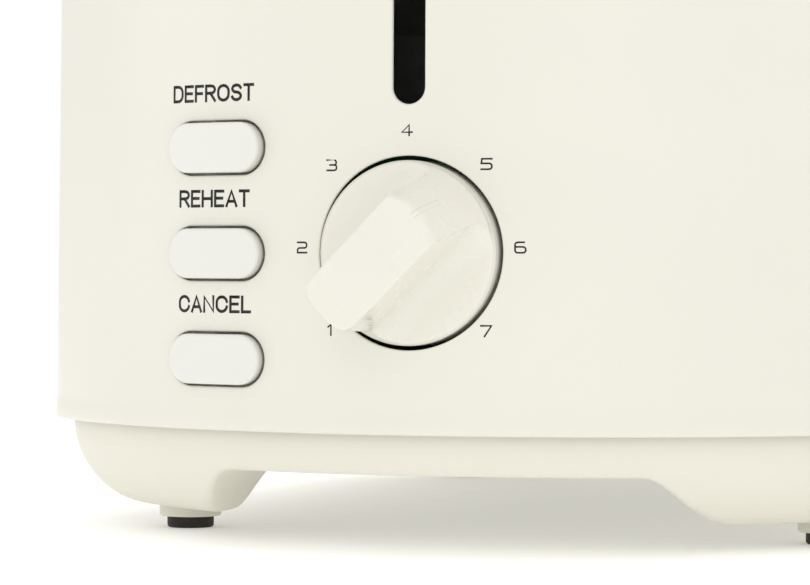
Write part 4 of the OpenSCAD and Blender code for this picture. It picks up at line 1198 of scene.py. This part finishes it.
def print_on_front(name, text, s_low, s_high, z_low, height, half, look, gap):
    """A word printed on the front bow between two arc lengths."""
    skin = Skin()
    widths = np.array([LETTER_WIDTHS.get(letter, 1.0) for letter in text])
    widths *= (s_high - s_low - 2 * half - (gap + 2 * half) * (len(text) - 1)) / widths.sum()
    rise = 0.0
    for k, (letter, width) in enumerate(zip(text, widths)):
        left = s_low + half + widths[:k].sum() + k * (gap + 2 * half)
        for line in LETTERS[letter]:
            rise += 0.002
            placed = [(left + x * width, z_low + half + y * (height - 2 * half)) for x, y in line]
            one, other = stroke_sides(dedupe(placed), half)
            loop = np.concatenate([one, other[::-1]])
            n = len(one)
            top = lay_on_wall(loop, -0.03 - rise % 0.02)
            faces = [(i, 2 * n - 1 - i, 2 * n - 2 - i, i + 1) for i in range(n - 1)]
            skin.add(top, faces)
            skin.rows([lay_on_wall(loop, 0.05), top])
    return skin.make(name, MATERIALS[look], "chassis")


WORDS = {"cancel_button": ("CANCEL", -54.3, -34.65), "reheat_button": ("REHEAT", -54.4, -35.2),
         "defrost_button": ("DEFROST", -56.5, -34.3)}
WORD_RISE, WORD_H, WORD_HALF, WORD_GAP = 9.03, 3.45, 0.29, 0.36
for button, (word, s_low, s_high) in WORDS.items():
    print_on_front(button + "_word", word, s_low, s_high, button_z(button) + WORD_RISE, WORD_H, WORD_HALF,
                   "print", WORD_GAP)

NUMERAL_RING, NUMERAL_H, NUMERAL_HALF = 22.35, 2.3, 0.16
NUMERAL_X, NUMERAL_Z = -0.25, KNOB_Z + 1.05             # the ring's middle
for k in range(7):
    turn = math.radians(225 - 45 * k)
    s, z = NUMERAL_X + NUMERAL_RING * math.cos(turn), NUMERAL_Z + NUMERAL_RING * math.sin(turn)
    print_on_front(f"numeral_{k + 1}", str(k + 1), s - 1.18, s + 1.18, z - NUMERAL_H / 2, NUMERAL_H,
                   NUMERAL_HALF, "print", 0)


# ---------------------------------------------------------------- floor, light and background

FLOOR_GLOW = 0.24                       # the floor is lit from below, as a light table


def make_floor():
    mesh = bpy.data.meshes.new("floor")
    mesh.from_pydata([(-3, -3, 0), (3, -3, 0), (3, 3, 0), (-3, 3, 0)], [], [(0, 1, 2, 3)])
    floor = bpy.data.objects.new("floor", mesh)
    bpy.context.scene.collection.objects.link(floor)
    material, tree, shader, coords = new_material("studio_floor")
    shader.inputs["Base Color"].default_value = (0.93, 0.93, 0.92, 1)
    shader.inputs["Roughness"].default_value = 0.75
    shader.inputs["Specular IOR Level"].default_value = 0.2
    shader.inputs["Emission Color"].default_value = (1.0, 1.0, 0.99, 1)
    shader.inputs["Emission Strength"].default_value = FLOOR_GLOW
    mesh.materials.append(material)


def area_light(name, place, aim, width, height, watts, colour=(1, 1, 1)):
    data = bpy.data.lights.new(name, "AREA")
    data.shape = "RECTANGLE"
    data.size, data.size_y = width, height
    data.energy = watts
    data.color = colour
    light = bpy.data.objects.new(name, data)
    light.location = place
    light.rotation_euler = (Vector(aim) - Vector(place)).to_track_quat("-Z", "Y").to_euler()
    bpy.context.scene.collection.objects.link(light)


def make_world():
    world = bpy.data.worlds.new("studio")
    bpy.context.scene.world = world
    world.use_nodes = True
    tree = world.node_tree
    tree.nodes.clear()
    output = tree.nodes.new("ShaderNodeOutputWorld")
    mix = tree.nodes.new("ShaderNodeMixShader")
    path = tree.nodes.new("ShaderNodeLightPath")
    seen = tree.nodes.new("ShaderNodeBackground")
    fill = tree.nodes.new("ShaderNodeBackground")
    seen.inputs["Color"].default_value = (1, 1, 1, 1)
    seen.inputs["Strength"].default_value = 1.0
    fill.inputs["Color"].default_value = (1.0, 0.99, 0.97, 1)
    fill.inputs["Strength"].default_value = 0.86
    tree.links.new(path.outputs["Is Camera Ray"], mix.inputs["Fac"])
    tree.links.new(fill.outputs["Background"], mix.inputs[1])
    tree.links.new(seen.outputs["Background"], mix.inputs[2])
    tree.links.new(mix.outputs["Shader"], output.inputs["Surface"])


make_floor()
make_world()
area_light("front_box", (0.35, -1.5, 1.0), (0, 0, 0.08), 1.8, 1.2, 3)
area_light("top_box", (-0.1, 0.1, 1.5), (0, 0, 0), 1.8, 1.8, 5.5)
area_light("left_box", (-1.5, -0.5, 0.6), (0, 0, 0.1), 1.0, 1.2, 0.5)
bpy.context.scene.view_settings.view_transform = "Standard"
